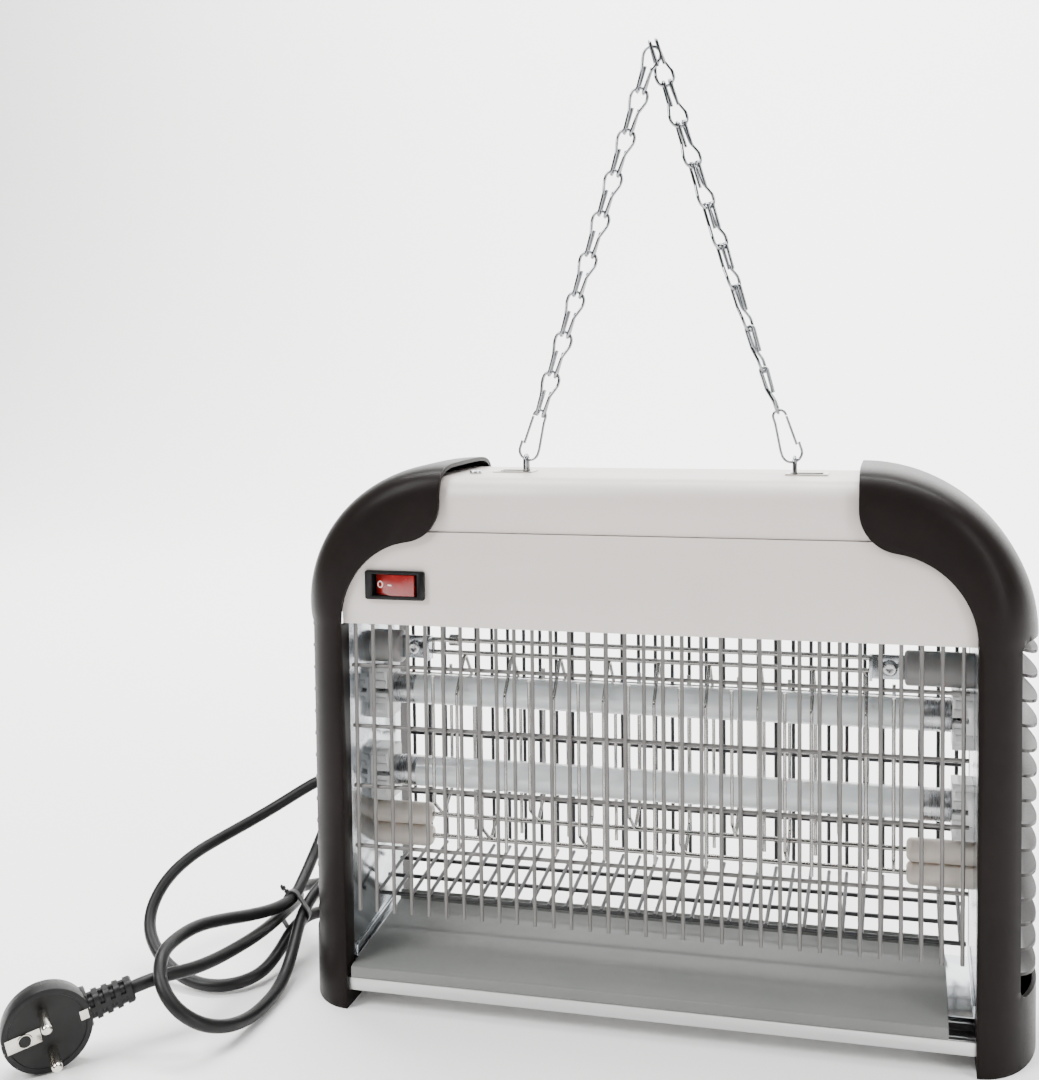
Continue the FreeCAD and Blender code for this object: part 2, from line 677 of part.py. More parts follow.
nodes["slot_rims"] = group([slot_rim(-1), slot_rim(1)])
eye_wire = 0.9
eye_r = 3.0
eye_top = swing_z + chain_wire + 0.5 + eye_wire
eye_plate_z = 264.0
eyes = []
for s in (-1, 1):
    points = [V(s * eye_x, -eye_r, eye_plate_z), V(s * eye_x, -eye_r, eye_top),
              V(s * eye_x, eye_r, eye_top), V(s * eye_x, eye_r, eye_plate_z)]
    eyes.append(wire_solid(points, [eye_r - 0.05, eye_r - 0.05], eye_wire))
nodes["hanging_eyes"] = group(eyes)
eye_plates = []
for s in (-1, 1):
    eye_plates.append(box(s * eye_x - 12, s * eye_x + 12, -20, 20, eye_plate_z - 1.5, eye_plate_z))
    for y in (-18.5, 17.0):
        foot = box(s * eye_x - 12, s * eye_x + 12, y, y + 1.5, eye_plate_z, cover_top - sheet)
        eye_plates[-1] = eye_plates[-1].fuse(foot)
nodes["eye_plates"] = group([p.removeSplitter() for p in eye_plates])

# ---- chain and snap hooks ----
strand_length = math.hypot(eye_x, apex_z - swing_z)
lean = math.atan2(eye_x, apex_z - swing_z)
left_foot = clip_length - 0.45      # middle of the lowest link's hooks, round the left clip's top
right_foot = clip_length - 1.5      # foot of the lowest link's bulb, under the right clip's top
right_top = 0.9             # how far the top right link's hooks reach past the strand's end
right_twist = math.radians(90)
twist_step = math.radians(10)


def strand_frame(s, twist):
    # u across the strand, along it towards the apex, w out of the chain's plane
    along = V(-s * math.sin(lean), 0, math.cos(lean))
    across = V(math.cos(lean), 0, s * math.sin(lean))
    out = V(0, 1, 0)
    c = math.cos(twist)
    t = math.sin(twist)
    return across * c + out * t, along, out * c - across * t


def place_on_strand(s, twist, points):
    across, along, out = strand_frame(s, twist)
    foot = V(s * eye_x, 0, swing_z)
    return [foot + across * u + along * d + out * w for u, d, w in points]


bulb_r = 4.3
hook_w = 1.7                # half the width of a hook's loop
hook_low = 2.4              # how far it reaches under the wire it holds
hook_u = 1.7


def link_points(start, sense, pitch):
    # one wire: a free end, a hook round the next link, a side, the round bulb, and the same back
    side = [(hook_u, 5.5, hook_w), (hook_u, -hook_low, hook_w), (hook_u, -hook_low, -hook_w),
            (2.3, 8.5, -1.7), (bulb_r, 15.0, 0.0), (bulb_r, pitch, 0.0)]
    whole = side + [(-u, d, w) for u, d, w in side[::-1]]
    return [(u, start + sense * d, sense * w) for u, d, w in whole]


link_radii = [hook_w - 0.05, hook_w - 0.05, 5.0, 6.0, bulb_r - 0.02]
link_radii = link_radii + link_radii[::-1]


def link(s, start, sense, pitch, twist):
    points = place_on_strand(s, twist, link_points(start, sense, pitch))
    return wire_solid(points, link_radii, chain_wire)


# the left links stand in one plane with their bulbs upwards; the right ones have their bulbs
# downwards and each is turned a little further than the one above it
left_pitch = (strand_length - left_foot) / link_count
left_links = [link(-1, left_foot + k * left_pitch, 1, left_pitch, 0.0) for k in range(link_count)]
nodes["chain_left"] = group(left_links[:-1])
nodes["hanging_link"] = left_links[-1]
right_pitch = (strand_length + right_top - right_foot) / link_count
right_links = []
for k in range(link_count):
    twist = right_twist - k * twist_step
    right_links.append(link(1, right_foot + (k + 1) * right_pitch, -1, right_pitch, twist))
nodes["chain_right"] = group(right_links)

clip_w = 5.0
clip_neck = 3.2


def clip_parts(s):
    # a pear-shaped spring wire, wide at the eye and narrow at the chain, with a separate gate
    frame_points = [(s * clip_w, 8.6, 0), (s * clip_w, 0, 0), (-s * clip_w, 0, 0), (-s * clip_w, 7.0, 0),
                    (-s * clip_neck, clip_length - 6, 0), (-s * clip_neck, clip_length, 0),
                    (s * clip_neck, clip_length, 0), (s * clip_neck, clip_length - 3.6, 0)]
    frame = wire_solid(place_on_strand(s, 0, frame_points), [4.6, 4.6, 12.0, 12.0, 3.1, 3.1], chain_wire)
    gate_points = [(s * clip_neck, clip_length - 4.0, 0), (s * (clip_w - 1.45), 7.6, 0)]
    ends = place_on_strand(s, 0, gate_points)
    gate = Part.makeCylinder(chain_wire, (ends[1] - ends[0]).Length, ends[0], ends[1] - ends[0])
    return frame, gate


for s, side in ((-1, "left"), (1, "right")):
    frame, gate = clip_parts(s)
    nodes[side + "_clip"] = frame
    nodes[side + "_clip_gate"] = gate

# ---- inner electrics, on the deck ----
deck_top = deck_z + sheet
choke_x0 = 20.0
choke_x1 = 78.0
choke_high = 30.0
choke_window = box(choke_x0 + 9, choke_x1 - 9, -20, 20, deck_top + 8, deck_top + choke_high - 8)
nodes["choke_core"] = box(choke_x0, choke_x1, -19, 19, deck_top, deck_top + choke_high).cut(choke_window)
nodes["choke_winding"] = box(choke_x0 + 10, choke_x1 - 10, -25, 25, deck_top + 9, deck_top + choke_high - 9)
starter_r = 10.5
starter_z = deck_top + 12.0
nodes["lamp_starters"] = group([rod((96, y, starter_z), (130, y, starter_z), starter_r) for y in (-15, 15)])
board_x0 = -90.0
board_x1 = 5.0
board_z = deck_top + 6
board_posts = []
for x in (board_x0 + 5, board_x1 - 5):
    for y in (-20.0, 20.0):
        board_posts.append(rod((x, y, deck_top), (x, y, board_z), 2.5))
nodes["board_spacers"] = group(board_posts)
nodes["high_voltage_board"] = box(board_x0, board_x1, -25, 25, board_z, board_z + 1.6)
board_top = board_z + 1.6
nodes["board_transformer"] = box(-80, -52, -14, 14, board_top, board_top + 22)
capacitors = []
for k in range(4):
    capacitors.append(rod((-38 + 11 * k, -10, board_top), (-38 + 11 * k, -10, board_top + 16), 4.6))
nodes["board_capacitors"] = group(capacitors)
nodes["terminal_block"] = box(-104, -94, -20, 14, deck_top, deck_top + 16)


def lead(points, radius):
    path = [V(*p) for p in points]
    return wire_solid(path, [6.0] * (len(path) - 2), radius)


# each holder's lead goes up inside a cap and through the side plate to the deck
lead_r = 0.9
lead_x = inner_half + 9.0
leads = []
for s in (-1, 1):
    for i, z in enumerate(lamp_z):
        y = -lead_y + 2 * lead_y * i
        leads.append(lead([(s * (inner_half + plate_thick + 0.1), y * 0.4, z + 4),
                           (s * lead_x, y * 0.4, z + 4), (s * lead_x, y, lead_z),
                           (s * 142.0, y, lead_z)], lead_r))
nodes["inner_wiring"] = group(leads)

# ---- mains cord ----
# Where the gland ends the cord drops behind the cap, is tied, makes a small loop, goes up
# behind the cap, comes round in a large loop, passes the tie twice more and runs to the plug.
plug_centre = V(-265.0, -131.0, 20.3)
plug_face_turn = math.radians(42.0)
pin_way = V(math.sin(plug_face_turn), -math.cos(plug_face_turn), 0)
plug_side = V(math.cos(plug_face_turn), math.sin(plug_face_turn), 0)
plug_roll = math.radians(12.0)
cord_way = plug_side * math.cos(plug_roll) + V(0, 0, 1) * math.sin(plug_roll)
plug_up = V(0, 0, 1) * math.cos(plug_roll) - plug_side * math.sin(plug_roll)
relief_start = 17.0
relief_length = 23.0
relief_z = -7.5             # the cord leaves behind the plug's face
cord_end = plug_centre + cord_way * (relief_start + relief_length) + pin_way * relief_z

cord_points = [
    sleeve_end,
    sleeve_end + gland_way * 12,
    # down behind the cap to the tie
    (-206, 69.5, 127.5), (-212, 77, 120), (-215, 81.5, 108), (-215, 81, 94.5), (-213, 75.5, 81),
    (-211, 65, 69), (-210, 53, 57.5), (-210, 38, 47), (-209.5, 22, 38), (-208.5, 6, 31.5),
    # the small loop in front
    (-212, -11, 32.5), (-218, -27, 35.5), (-224.5, -43, 39.5), (-230, -58.5, 42.5), (-232.5, -74.5, 42.5),
    (-231, -90, 42), (-225, -102, 34.5), (-214.5, -107, 25), (-203.5, -103, 16), (-196.5, -91, 9.5),
    (-194, -73.5, 5), (-193.5, -57, 4.2), (-194.5, -40, 4.8), (-197, -24.5, 8.5), (-200.5, -9, 15.5),
    (-203.5, 6, 24),
    # up behind the cap and round the large loop at the left
    (-202, 21, 31.5), (-196, 35.5, 37), (-187.4, 48, 43), (-182, 55.5, 53), (-181, 57.7, 65.6),
    (-186.1, 56, 78.4), (-197.5, 53.5, 85.9), (-210.4, 50.4, 85.8), (-223, 47, 78.5), (-235.5, 42.5, 70.5),
    (-248.5, 35, 63), (-262, 24, 56), (-273, 11.5, 50), (-280.5, -2, 42), (-283, -14, 32),
    (-280, -24, 22.5), (-271, -32, 14.5), (-259, -38, 8.5), (-245, -43, 5), (-231, -45, 4.2),
    (-219, -40.2, 4.2), (-210.5, -29.5, 5.5), (-208.5, -14.5, 9), (-208.5, 5, 16.5),
    # a turn on the floor behind the cap
    (-205.5, 21.5, 17.5), (-198, 36, 14), (-190.5, 49, 9.5), (-184.5, 62, 6), (-185, 77, 4.4),
    (-192.5, 89.5, 4.2), (-206, 95.5, 4.6), (-220.5, 93, 6), (-231, 82.5, 8.5), (-234.5, 68.5, 11.5),
    (-231, 54.5, 15), (-223, 41.5, 18.5), (-216.5, 27.5, 22), (-213.5, 11, 24.5),
    # from the tie to the plug
    (-213, -12, 24.5), (-214, -29, 25), (-216, -46, 26), (-219, -62, 27), (-223.5, -76.5, 28.5),
    cord_end + cord_way * 11.5,
    cord_end,
]
cord_points = [p if isinstance(p, FreeCAD.Vector) else V(*p) for p in cord_points]


def cord_tube(points, radius):
    radii = []
    for i in range(1, len(points) - 1):
        back = points[i] - points[i - 1]
        ahead = points[i + 1] - points[i]
        half_turn = back.getAngle(ahead) / 2
        radii.append(0.45 * min(back.Length, ahead.Length) / math.tan(half_turn))
    path = round_path(points, radii)
    along = (points[1] - points[0]).normalize()
    ring = Part.Wire(Part.makeCircle(radius, points[0], along))
    tube = path.makePipeShell([ring], True, False)
    print("cord length", round(path.Length, 1), "smallest radius", round(min(radii), 1))
    print("cord radii", [round(r) for r in radii])
    share = tube.Volume / (math.pi * radius ** 2 * path.Length)
    print("cord volume over section times length", round(share, 4))
    return tube


nodes["mains_cord"] = cord_tube(cord_points, cord_r)

# twist tie: a thin band round the four passes of the cord
tie_x0 = -218.0
tie_x1 = -199.0
tie_z0 = 11.8
tie_z1 = 36.0
tie_y0 = 4.5
tie_width = 3.0
tie_thick = 1.2


def tie_band(grow, y0, y1):
    band = box(tie_x0 - grow, tie_x1 + grow, y0, y1, tie_z0 - grow, tie_z1 + grow)
    return band.makeFillet(3.4 + grow, [e for e in band.Edges if e.BoundBox.YLength > 2])


tie_outer = tie_band(tie_thick, tie_y0, tie_y0 + tie_width)
tie_inner = tie_band(0.0, tie_y0 - 5, tie_y0 + tie_width + 5)
nodes["cord_tie"] = tie_outer.cut(tie_inner)

# ---- plug ----
plug_r = 20.0
body_depth = 14.0
back_step = 5.0


def plug_shape(shape):
    # from plug axes (X along the cord, Y up, Z along the pins) to the object's frame
    m = FreeCAD.Matrix(cord_way.x, plug_up.x, pin_way.x, plug_centre.x,
                       cord_way.y, plug_up.y, pin_way.y, plug_centre.y,
                       cord_way.z, plug_up.z, pin_way.z, plug_centre.z, 0, 0, 0, 1)
    return shape.transformed(m)


# 4.8 mm pins 19 mm apart and 19 mm long, a socket for an earth pin and an earth strip at either side
plug_pin_r = 2.4
pin_half = 9.5
pin_long = 19.0
pin_root = 8.0
seat_wide = 2.4
seat_deep = 11.0
disc = Part.makeCylinder(plug_r, body_depth, V(0, 0, -body_depth))
disc = disc.fuse(Part.makeCylinder(plug_r - 4, back_step, V(0, 0, -body_depth - back_step)))
disc = disc.fuse(box(0, plug_r - 3.2, -9, 9, -body_depth - 3, -4))
disc = disc.cut(Part.makeCylinder(plug_pin_r, 12, V(-10.0, 0, -11)))
pins = []
for y in (-pin_half, pin_half):
    disc = disc.cut(Part.makeCylinder(plug_pin_r + 0.02, pin_root, V(0, y, -pin_root)))
    pin = Part.makeCylinder(plug_pin_r, pin_long + pin_root, V(0, y, -pin_root))
    pins.append(plug_shape(pin.makeFillet(1.2, [e for e in pin.Edges if e.BoundBox.ZMin > pin_long - 1])))
strips = []
for x in (-plug_r, plug_r - seat_wide):
    disc = disc.cut(box(x, x + seat_wide, -3, 3, -seat_deep, 1))
    strips.append(plug_shape(box(x + 0.6, x + 1.6, -2.6, 2.6, -seat_deep + 0.2, 0.4)))
nodes["plug_body"] = plug_shape(disc)
nodes["plug_pins"] = group(pins)
nodes["plug_earth_clips"] = group(strips)

# a tapered sleeve round the cord with grooves that let it bend
groove_count = 4
groove_pitch = 4.2
groove_wide = 2.0
relief = Part.makeCone(7.0, 5.0, relief_length, V(relief_start, 0, relief_z), V(1, 0, 0))
relief = relief.cut(Part.makeCylinder(plug_r, body_depth + back_step + 1, V(0, 0, -body_depth - back_step)))
for k in range(groove_count):
    x = relief_start + 6 + groove_pitch * k
    groove = box(x, x + groove_wide, -8, 8, relief_z - 8, relief_z + 8)
    core = Part.makeCylinder(4.2, groove_wide + 2, V(x - 1, 0, relief_z), V(1, 0, 0))
    relief = relief.cut(groove.cut(core))
nodes["plug_strain_relief"] = plug_shape(relief)

# ---- write one STEP file for each node ----
os.makedirs("parts", exist_ok=True)
for name, shape in nodes.items():
    if not shape.isValid():
        print("NOT VALID", name)
    shape.exportStep("parts/" + name + ".step")
print(len(nodes), "nodes")
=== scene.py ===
import json
import math
import bpy
import bmesh
from mathutils import Matrix, Vector


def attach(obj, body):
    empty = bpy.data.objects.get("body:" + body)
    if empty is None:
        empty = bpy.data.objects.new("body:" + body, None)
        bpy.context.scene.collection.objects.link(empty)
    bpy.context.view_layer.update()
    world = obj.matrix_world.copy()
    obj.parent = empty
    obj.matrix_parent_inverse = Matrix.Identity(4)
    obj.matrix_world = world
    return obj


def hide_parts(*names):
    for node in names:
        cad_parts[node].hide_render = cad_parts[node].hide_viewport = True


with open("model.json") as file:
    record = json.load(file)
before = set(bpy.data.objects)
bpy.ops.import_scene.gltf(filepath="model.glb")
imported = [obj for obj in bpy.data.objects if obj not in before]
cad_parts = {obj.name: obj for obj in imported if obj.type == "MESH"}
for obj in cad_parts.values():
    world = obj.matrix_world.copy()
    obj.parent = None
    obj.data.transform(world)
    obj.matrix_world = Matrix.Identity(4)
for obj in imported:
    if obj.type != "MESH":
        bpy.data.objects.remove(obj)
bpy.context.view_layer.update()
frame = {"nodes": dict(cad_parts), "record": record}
nodes = frame["nodes"]
collection = bpy.context.scene.collection
print("frame loaded:", len(nodes), "nodes")

mm = 0.001


# camera and studio
studio = {
    "cameraPlace": (0.12089, -0.6478, 0.32866),
    "turn": 13.15,            # degrees towards -X
    "tiltDown": 2.74,
    "roll": -0.51,
    "lens": 43.45,
    "shift": (-0.0732, -0.1073),
    "floorColour": "#FCFBFA",
    "skyStrength": 0.12,
    # name: place, aim, size, watts
    "lights": {
        "keyLeft": ((-1.5, -1.3, 1.9), (0, 0, 0.15), (0.9, 1.2), 78),
        "fillRight": ((1.7, -1.0, 0.8), (0, 0, 0.15), (0.5, 1.5), 26),
        "topSoft": ((0.0, 0.1, 2.3), (0, 0, 0.2), (2.4, 1.3), 70),
        "wallWash": ((0.0, 0.9, 2.4), (0, 2.6, 0.6), (3.6, 0.6), 300),
    },
}


def toLinear(hexColour):
    # sRGB hex to the linear values that shaders use
    channels = [int(hexColour[i:i + 2], 16) / 255 for i in (1, 3, 5)]
    linear = [c / 12.92 if c <= 0.04045 else ((c + 0.055) / 1.055) ** 2.4 for c in channels]
    return (*linear, 1.0)


def addNode(tree, kind, links=None, **settings):
    # one node, its settings, and its inputs by name or number as values or as other nodes' outputs
    item = tree.nodes.new(kind)
    for name, value in settings.items():
        setattr(item, name, value)
    for key, value in (links or {}).items():
        if isinstance(value, bpy.types.NodeSocket):
            tree.links.new(value, item.inputs[key])
        else:
            item.inputs[key].default_value = value
    return item


def makeCamera():
    yaw, pitch, roll = (math.radians(studio[k]) for k in ("turn", "tiltDown", "roll"))
    forward = Vector((-math.sin(yaw) * math.cos(pitch), math.cos(yaw) * math.cos(pitch), -math.sin(pitch)))
    level = Vector((math.cos(yaw), math.sin(yaw), 0))
    upright = level.cross(forward)
    right = level * math.cos(roll) + upright * math.sin(roll)
    up = upright * math.cos(roll) - level * math.sin(roll)
    camera = bpy.data.objects.new("camera", bpy.data.cameras.new("camera"))
    collection.objects.link(camera)
    turned = Matrix((right, up, -forward)).transposed().to_4x4()
    camera.matrix_world = Matrix.Translation(studio["cameraPlace"]) @ turned
    camera.data.sensor_width = 36
    camera.data.lens = studio["lens"]
    camera.data.shift_x, camera.data.shift_y = studio["shift"]
    camera.data.clip_start = 0.01
    bpy.context.scene.camera = camera


def addLight(name, place, aim, size, power):
    light = bpy.data.objects.new(name, bpy.data.lights.new(name, "AREA"))
    light.data.shape = "RECTANGLE"
    light.data.size, light.data.size_y = size
    light.data.energy = power
    light.location = place
    light.rotation_euler = (Vector(aim) - Vector(place)).to_track_quat("-Z", "Y").to_euler()
    light.visible_camera = False
    collection.objects.link(light)


def makeStudio():
    world = bpy.data.worlds.new("studio")
    bpy.context.scene.world = world
    world.use_nodes = True
    back = world.node_tree.nodes["Background"]
    back.inputs["Color"].default_value = toLinear("#FFFFFF")
    back.inputs["Strength"].default_value = studio["skyStrength"]
    floorMesh = bpy.data.meshes.new("studioFloor")
    # a floor that curves up into a backdrop behind the object
    profile = [(-4.0, 0.0), (1.6, 0.0)]
    for step in range(1, 13):
        a = math.radians(7.5 * step)
        profile.append((1.6 + 1.2 * math.sin(a), 1.2 - 1.2 * math.cos(a)))
    profile.append((2.8, 5.0))
    points = [(x, y, z) for y, z in profile for x in (-6.0, 6.0)]
    faces = [(2 * i, 2 * i + 1, 2 * i + 3, 2 * i + 2) for i in range(len(profile) - 1)]
    floorMesh.from_pydata(points, [], faces)
    for face in floorMesh.polygons:
        face.use_smooth = True
    floor = bpy.data.objects.new("studioFloor", floorMesh)
    collection.objects.link(floor)
    paper = bpy.data.materials.new("studioPaper")
    paper.use_nodes = True
    shader = paper.node_tree.nodes["Principled BSDF"]
    shader.inputs["Base Color"].default_value = toLinear(studio["floorColour"])
    shader.inputs["Roughness"].default_value = 0.9
    floorMesh.materials.append(paper)
    for name, given in studio["lights"].items():
        addLight(name, *given)


makeCamera()
makeStudio()
print("camera and studio made")


# materials: grain, spots and streaks are real sizes in millimetres;
# stretch is how much longer a pattern runs along X, Y, Z
finishes = {
    # ABS, injection moulded with a fine spark texture: black, satin, a faint warm bloom over the curves
    "black_abs": {"colours": ("#171413", "#1C1817"), "rough": (0.30, 0.38), "spot": 30, "grain": 0.35,
                  "bump": 0.10, "ior": 1.54, "shine": 0.05},
    # polyester powder coat on steel sheet: warm grey, satin, with a light orange peel
    "painted_sheet": {"colours": ("#D0C8C3", "#CAC2BD"), "rough": (0.34, 0.42), "spot": 60, "grain": 1.1,
                      "bump": 0.10, "ior": 1.5},
    # hot-dip galvanised sheet, rolled bright: faint spangle, near-mirror at low angles
    "galvanised_sheet": {"colours": ("#B9BDC0", "#A9AEB2"), "rough": (0.14, 0.26), "spot": 9, "grain": 6,
                         "bump": 0.03, "metal": 1, "spangle": True},
    # extruded aluminium, mill finish: fine die lines along the rail
    "aluminium_rail": {"colours": ("#CDCDCC", "#BFC0C0"), "rough": (0.28, 0.40), "spot": 25, "grain": 0.8,
                       "bump": 0.10, "metal": 1, "stretch": (60, 1, 1)},
    # grey stoved paint on the tray: satin, a little dusty
    "tray_sheet": {"colours": ("#6C6E6B", "#656764"), "rough": (0.36, 0.5), "spot": 45, "grain": 1.0,
                   "bump": 0.08, "ior": 1.5},
    # steel wire, dip coated light grey: soft shine, tiny sags
    "guard_wire": {"colours": ("#696765", "#5E5C5A"), "rough": (0.30, 0.42), "spot": 12, "grain": 1.5,
                   "bump": 0.10, "ior": 1.5, "metal": 0.35},
    # the same wire at the back and in the floor grille, coloured near black: painted shade for the housing's
    # shadow there
    "rear_wire": {"colours": ("#242426", "#1D1D1F"), "rough": (0.34, 0.45), "spot": 12, "grain": 1.5,
                  "bump": 0.10, "ior": 1.5},
    # bright drawn steel rod, nickel plated: draw lines run along the rod
    "grid_rod": {"colours": ("#A9A7A4", "#959390"), "rough": (0.16, 0.28), "spot": 8, "grain": 0.5,
                 "bump": 0.06, "metal": 1},
    # steel wire, bright zinc plated: mirror-like with a faint blue-white haze
    "zinc_wire": {"colours": ("#9A9C9F", "#85888B"), "rough": (0.10, 0.18), "spot": 5, "grain": 0.6,
                  "bump": 0.05, "metal": 1},
    # brass eyelet metal, nickel plated
    "plated_rim": {"colours": ("#C8C4BC", "#B8B4AC"), "rough": (0.14, 0.24), "spot": 4, "grain": 0.5,
                   "bump": 0.05, "metal": 1},
    # zinc plated screw steel
    "screw_steel": {"colours": ("#C4C5C6", "#ADAEB0"), "rough": (0.22, 0.34), "spot": 3, "grain": 0.4,
                    "bump": 0.08, "metal": 1},
    # polypropylene insulator, moulded matt: light grey and slightly translucent
    "grey_insulator": {"colours": ("#8E8D8C", "#848382"), "rough": (0.42, 0.52), "spot": 14, "grain": 0.6,
                       "bump": 0.08, "ior": 1.49, "subsurface": 0.25},
    # steatite insulator: off-white, fired unglazed with a soft sheen
    "pale_insulator": {"colours": ("#C9C1B8", "#BDB5AC"), "rough": (0.38, 0.48), "spot": 10, "grain": 0.5,
                       "bump": 0.10, "ior": 1.6, "subsurface": 0.15},
    # polycarbonate lamp holder, moulded milky clear
    "clear_holder": {"colours": ("#DCDDDC", "#CFD0CF"), "rough": (0.16, 0.26), "spot": 10, "grain": 1.0,
                     "bump": 0.05, "ior": 1.585, "transmission": 0.35},
    # soda-lime tube, coated inside with white phosphor: milky under clear gloss
    "lamp_glass": {"colours": ("#E9E9EA", "#E2E2E4"), "rough": (0.20, 0.26), "spot": 30, "grain": 3.0,
                   "bump": 0.01, "ior": 1.5, "coat": 1.0, "coatRough": 0.04, "subsurface": 0.2},
    # aluminium lamp end, spun: fine rings round the axis
    "lamp_cap": {"colours": ("#B9BABC", "#A5A6A9"), "rough": (0.22, 0.34), "spot": 4, "grain": 0.5,
                 "bump": 0.15, "metal": 1, "stretch": (0.5, 8, 8)},
    # plasticised PVC of a mains cord and plug: black, soft, low sheen
    "black_pvc": {"colours": ("#121212", "#171717"), "rough": (0.36, 0.48), "spot": 12, "grain": 0.5,
                  "bump": 0.15, "ior": 1.53, "shine": 0.2},
    # nylon switch housing, moulded
    "black_switch": {"colours": ("#121212", "#171616"), "rough": (0.28, 0.36), "spot": 8, "grain": 0.3,
                     "bump": 0.08, "ior": 1.53, "shine": 0.15},
    # polycarbonate rocker, tinted red and lit softly through
    "red_rocker": {"colours": ("#861513", "#751110"), "rough": (0.2, 0.28), "spot": 6, "grain": 0.6,
                   "bump": 0.03, "ior": 1.585, "coat": 0.4, "coatRough": 0.15, "transmission": 0.1},
    # hot-stamped foil marks on the rocker
    "stamped_mark": {"colours": ("#E9E4E0", "#DDD8D4"), "rough": (0.4, 0.5), "spot": 2, "grain": 0.2,
                     "bump": 0.1, "ior": 1.5},
    "brass_contact": {"colours": ("#C8A862", "#B8974F"), "rough": (0.22, 0.32), "spot": 4, "grain": 0.4,
                      "bump": 0.08, "metal": 1},
    # FR4 board under green solder resist: woven glass just shows
    "circuit_board": {"colours": ("#1F5A36", "#1A4E2F"), "rough": (0.25, 0.35), "spot": 5, "grain": 0.6,
                      "bump": 0.12, "ior": 1.55},
    # epoxy-potted transformer
    "transformer": {"colours": ("#26262A", "#1E1E21"), "rough": (0.4, 0.55), "spot": 8, "grain": 0.8,
                    "bump": 0.12, "ior": 1.55},
    # varnished silicon-steel laminations, 0.5 mm each, stacked along Y
    "choke_steel": {"colours": ("#55565A", "#3F4043"), "rough": (0.35, 0.5), "spot": 5, "grain": 0.5,
                    "bump": 0.4, "metal": 1, "stretch": (40, 1, 40)},
    # polyester winding tape
    "winding_tape": {"colours": ("#D0A93C", "#C29B32"), "rough": (0.22, 0.32), "spot": 6, "grain": 1.2,
                     "bump": 0.15, "ior": 1.57},
    # dipped film capacitor
    "capacitor": {"colours": ("#2A4E86", "#244575"), "rough": (0.22, 0.32), "spot": 5, "grain": 0.8,
                  "bump": 0.06, "ior": 1.5},
    # natural nylon mouldings
    "white_nylon": {"colours": ("#E4E2DA", "#DAD8CF"), "rough": (0.36, 0.46), "spot": 8, "grain": 0.5,
                    "bump": 0.08, "ior": 1.53, "subsurface": 0.2},
    "white_pvc": {"colours": ("#E2E1DC", "#D8D7D1"), "rough": (0.36, 0.46), "spot": 5, "grain": 0.5,
                  "bump": 0.08, "ior": 1.53},
    # nylon band of the cord tie
    "clip_band": {"colours": ("#161617", "#1D1D1E"), "rough": (0.4, 0.5), "spot": 3, "grain": 0.3,
                  "bump": 0.15, "ior": 1.53},
}


def makeFinish(name, finish):
    material = bpy.data.materials.new(name)
    material.use_nodes = True
    tree = material.node_tree
    shader = tree.nodes["Principled BSDF"]
    place = addNode(tree, "ShaderNodeTexCoord").outputs["Object"]
    stretch = finish.get("stretch", (1, 1, 1))
    if stretch != (1, 1, 1):
        place = addNode(tree, "ShaderNodeMapping",
                        {"Vector": place, "Scale": [1 / s for s in stretch]}).outputs[0]
    # colour drifts over the size of a spot; roughness follows a finer drift
    drift = addNode(tree, "ShaderNodeTexNoise",
                    {"Vector": place, "Scale": 1 / (finish["spot"] * mm), "Detail": 3.0})
    if finish.get("spangle"):
        drift = addNode(tree, "ShaderNodeTexVoronoi", {"Vector": place, "Scale": 1 / (finish["spot"] * mm)})
    share = drift.outputs["Color"] if finish.get("spangle") else drift.outputs[0]
    ramp = addNode(tree, "ShaderNodeValToRGB", {"Fac": share})
    ramp.color_ramp.elements[0].position, ramp.color_ramp.elements[1].position = 0.3, 0.7
    for element, colour in zip(ramp.color_ramp.elements, finish["colours"]):
        element.color = toLinear(colour)
    tree.links.new(ramp.outputs["Color"], shader.inputs["Base Color"])
    fine = addNode(tree, "ShaderNodeTexNoise",
                   {"Vector": place, "Scale": 0.3 / (finish["grain"] * mm), "Detail": 4.0})
    low, high = finish["rough"]
    rough = addNode(tree, "ShaderNodeMapRange", {"Value": fine.outputs[0], "From Min": 0.3, "From Max": 0.7,
                                                 "To Min": low, "To Max": high})
    tree.links.new(rough.outputs[0], shader.inputs["Roughness"])
    grain = addNode(tree, "ShaderNodeTexNoise",
                    {"Vector": place, "Scale": 1 / (finish["grain"] * mm), "Detail": 2.0})
    bump = addNode(tree, "ShaderNodeBump", {"Height": grain.outputs[0], "Strength": finish["bump"],
                                            "Distance": finish["grain"] * mm * 0.3})
    tree.links.new(bump.outputs["Normal"], shader.inputs["Normal"])
    settings = {"metal": "Metallic", "ior": "IOR", "shine": "Specular IOR Level", "coat": "Coat Weight",
                "coatRough": "Coat Roughness",
                "transmission": "Transmission Weight", "subsurface": "Subsurface Weight"}
    for key, socket in settings.items():
        if key in finish:
            shader.inputs[socket].default_value = finish[key]
    if "subsurface" in finish:
        shader.inputs["Subsurface Scale"].default_value = 0.004
    return material


materials = {name: makeFinish(name, finish) for name, finish in finishes.items()}
nodeSlots = {s["node"]: s["material_slot"] for s in frame["record"]["subparts"]}
bodyOf = {n: body for body, names in frame["record"]["behaviour"]["bodies"].items() for n in names}
print("materials made:", len(materials))


# making pieces
def newObject(name, mesh):
    piece = bpy.data.objects.new(name, mesh)
    collection.objects.link(piece)
    return piece


def finishPiece(piece, body, slot, stands=()):
    if not piece.data.materials:
        piece.data.materials.append(materials[slot])
    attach(piece, body)
    if stands:
        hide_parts(*stands)
    return piece


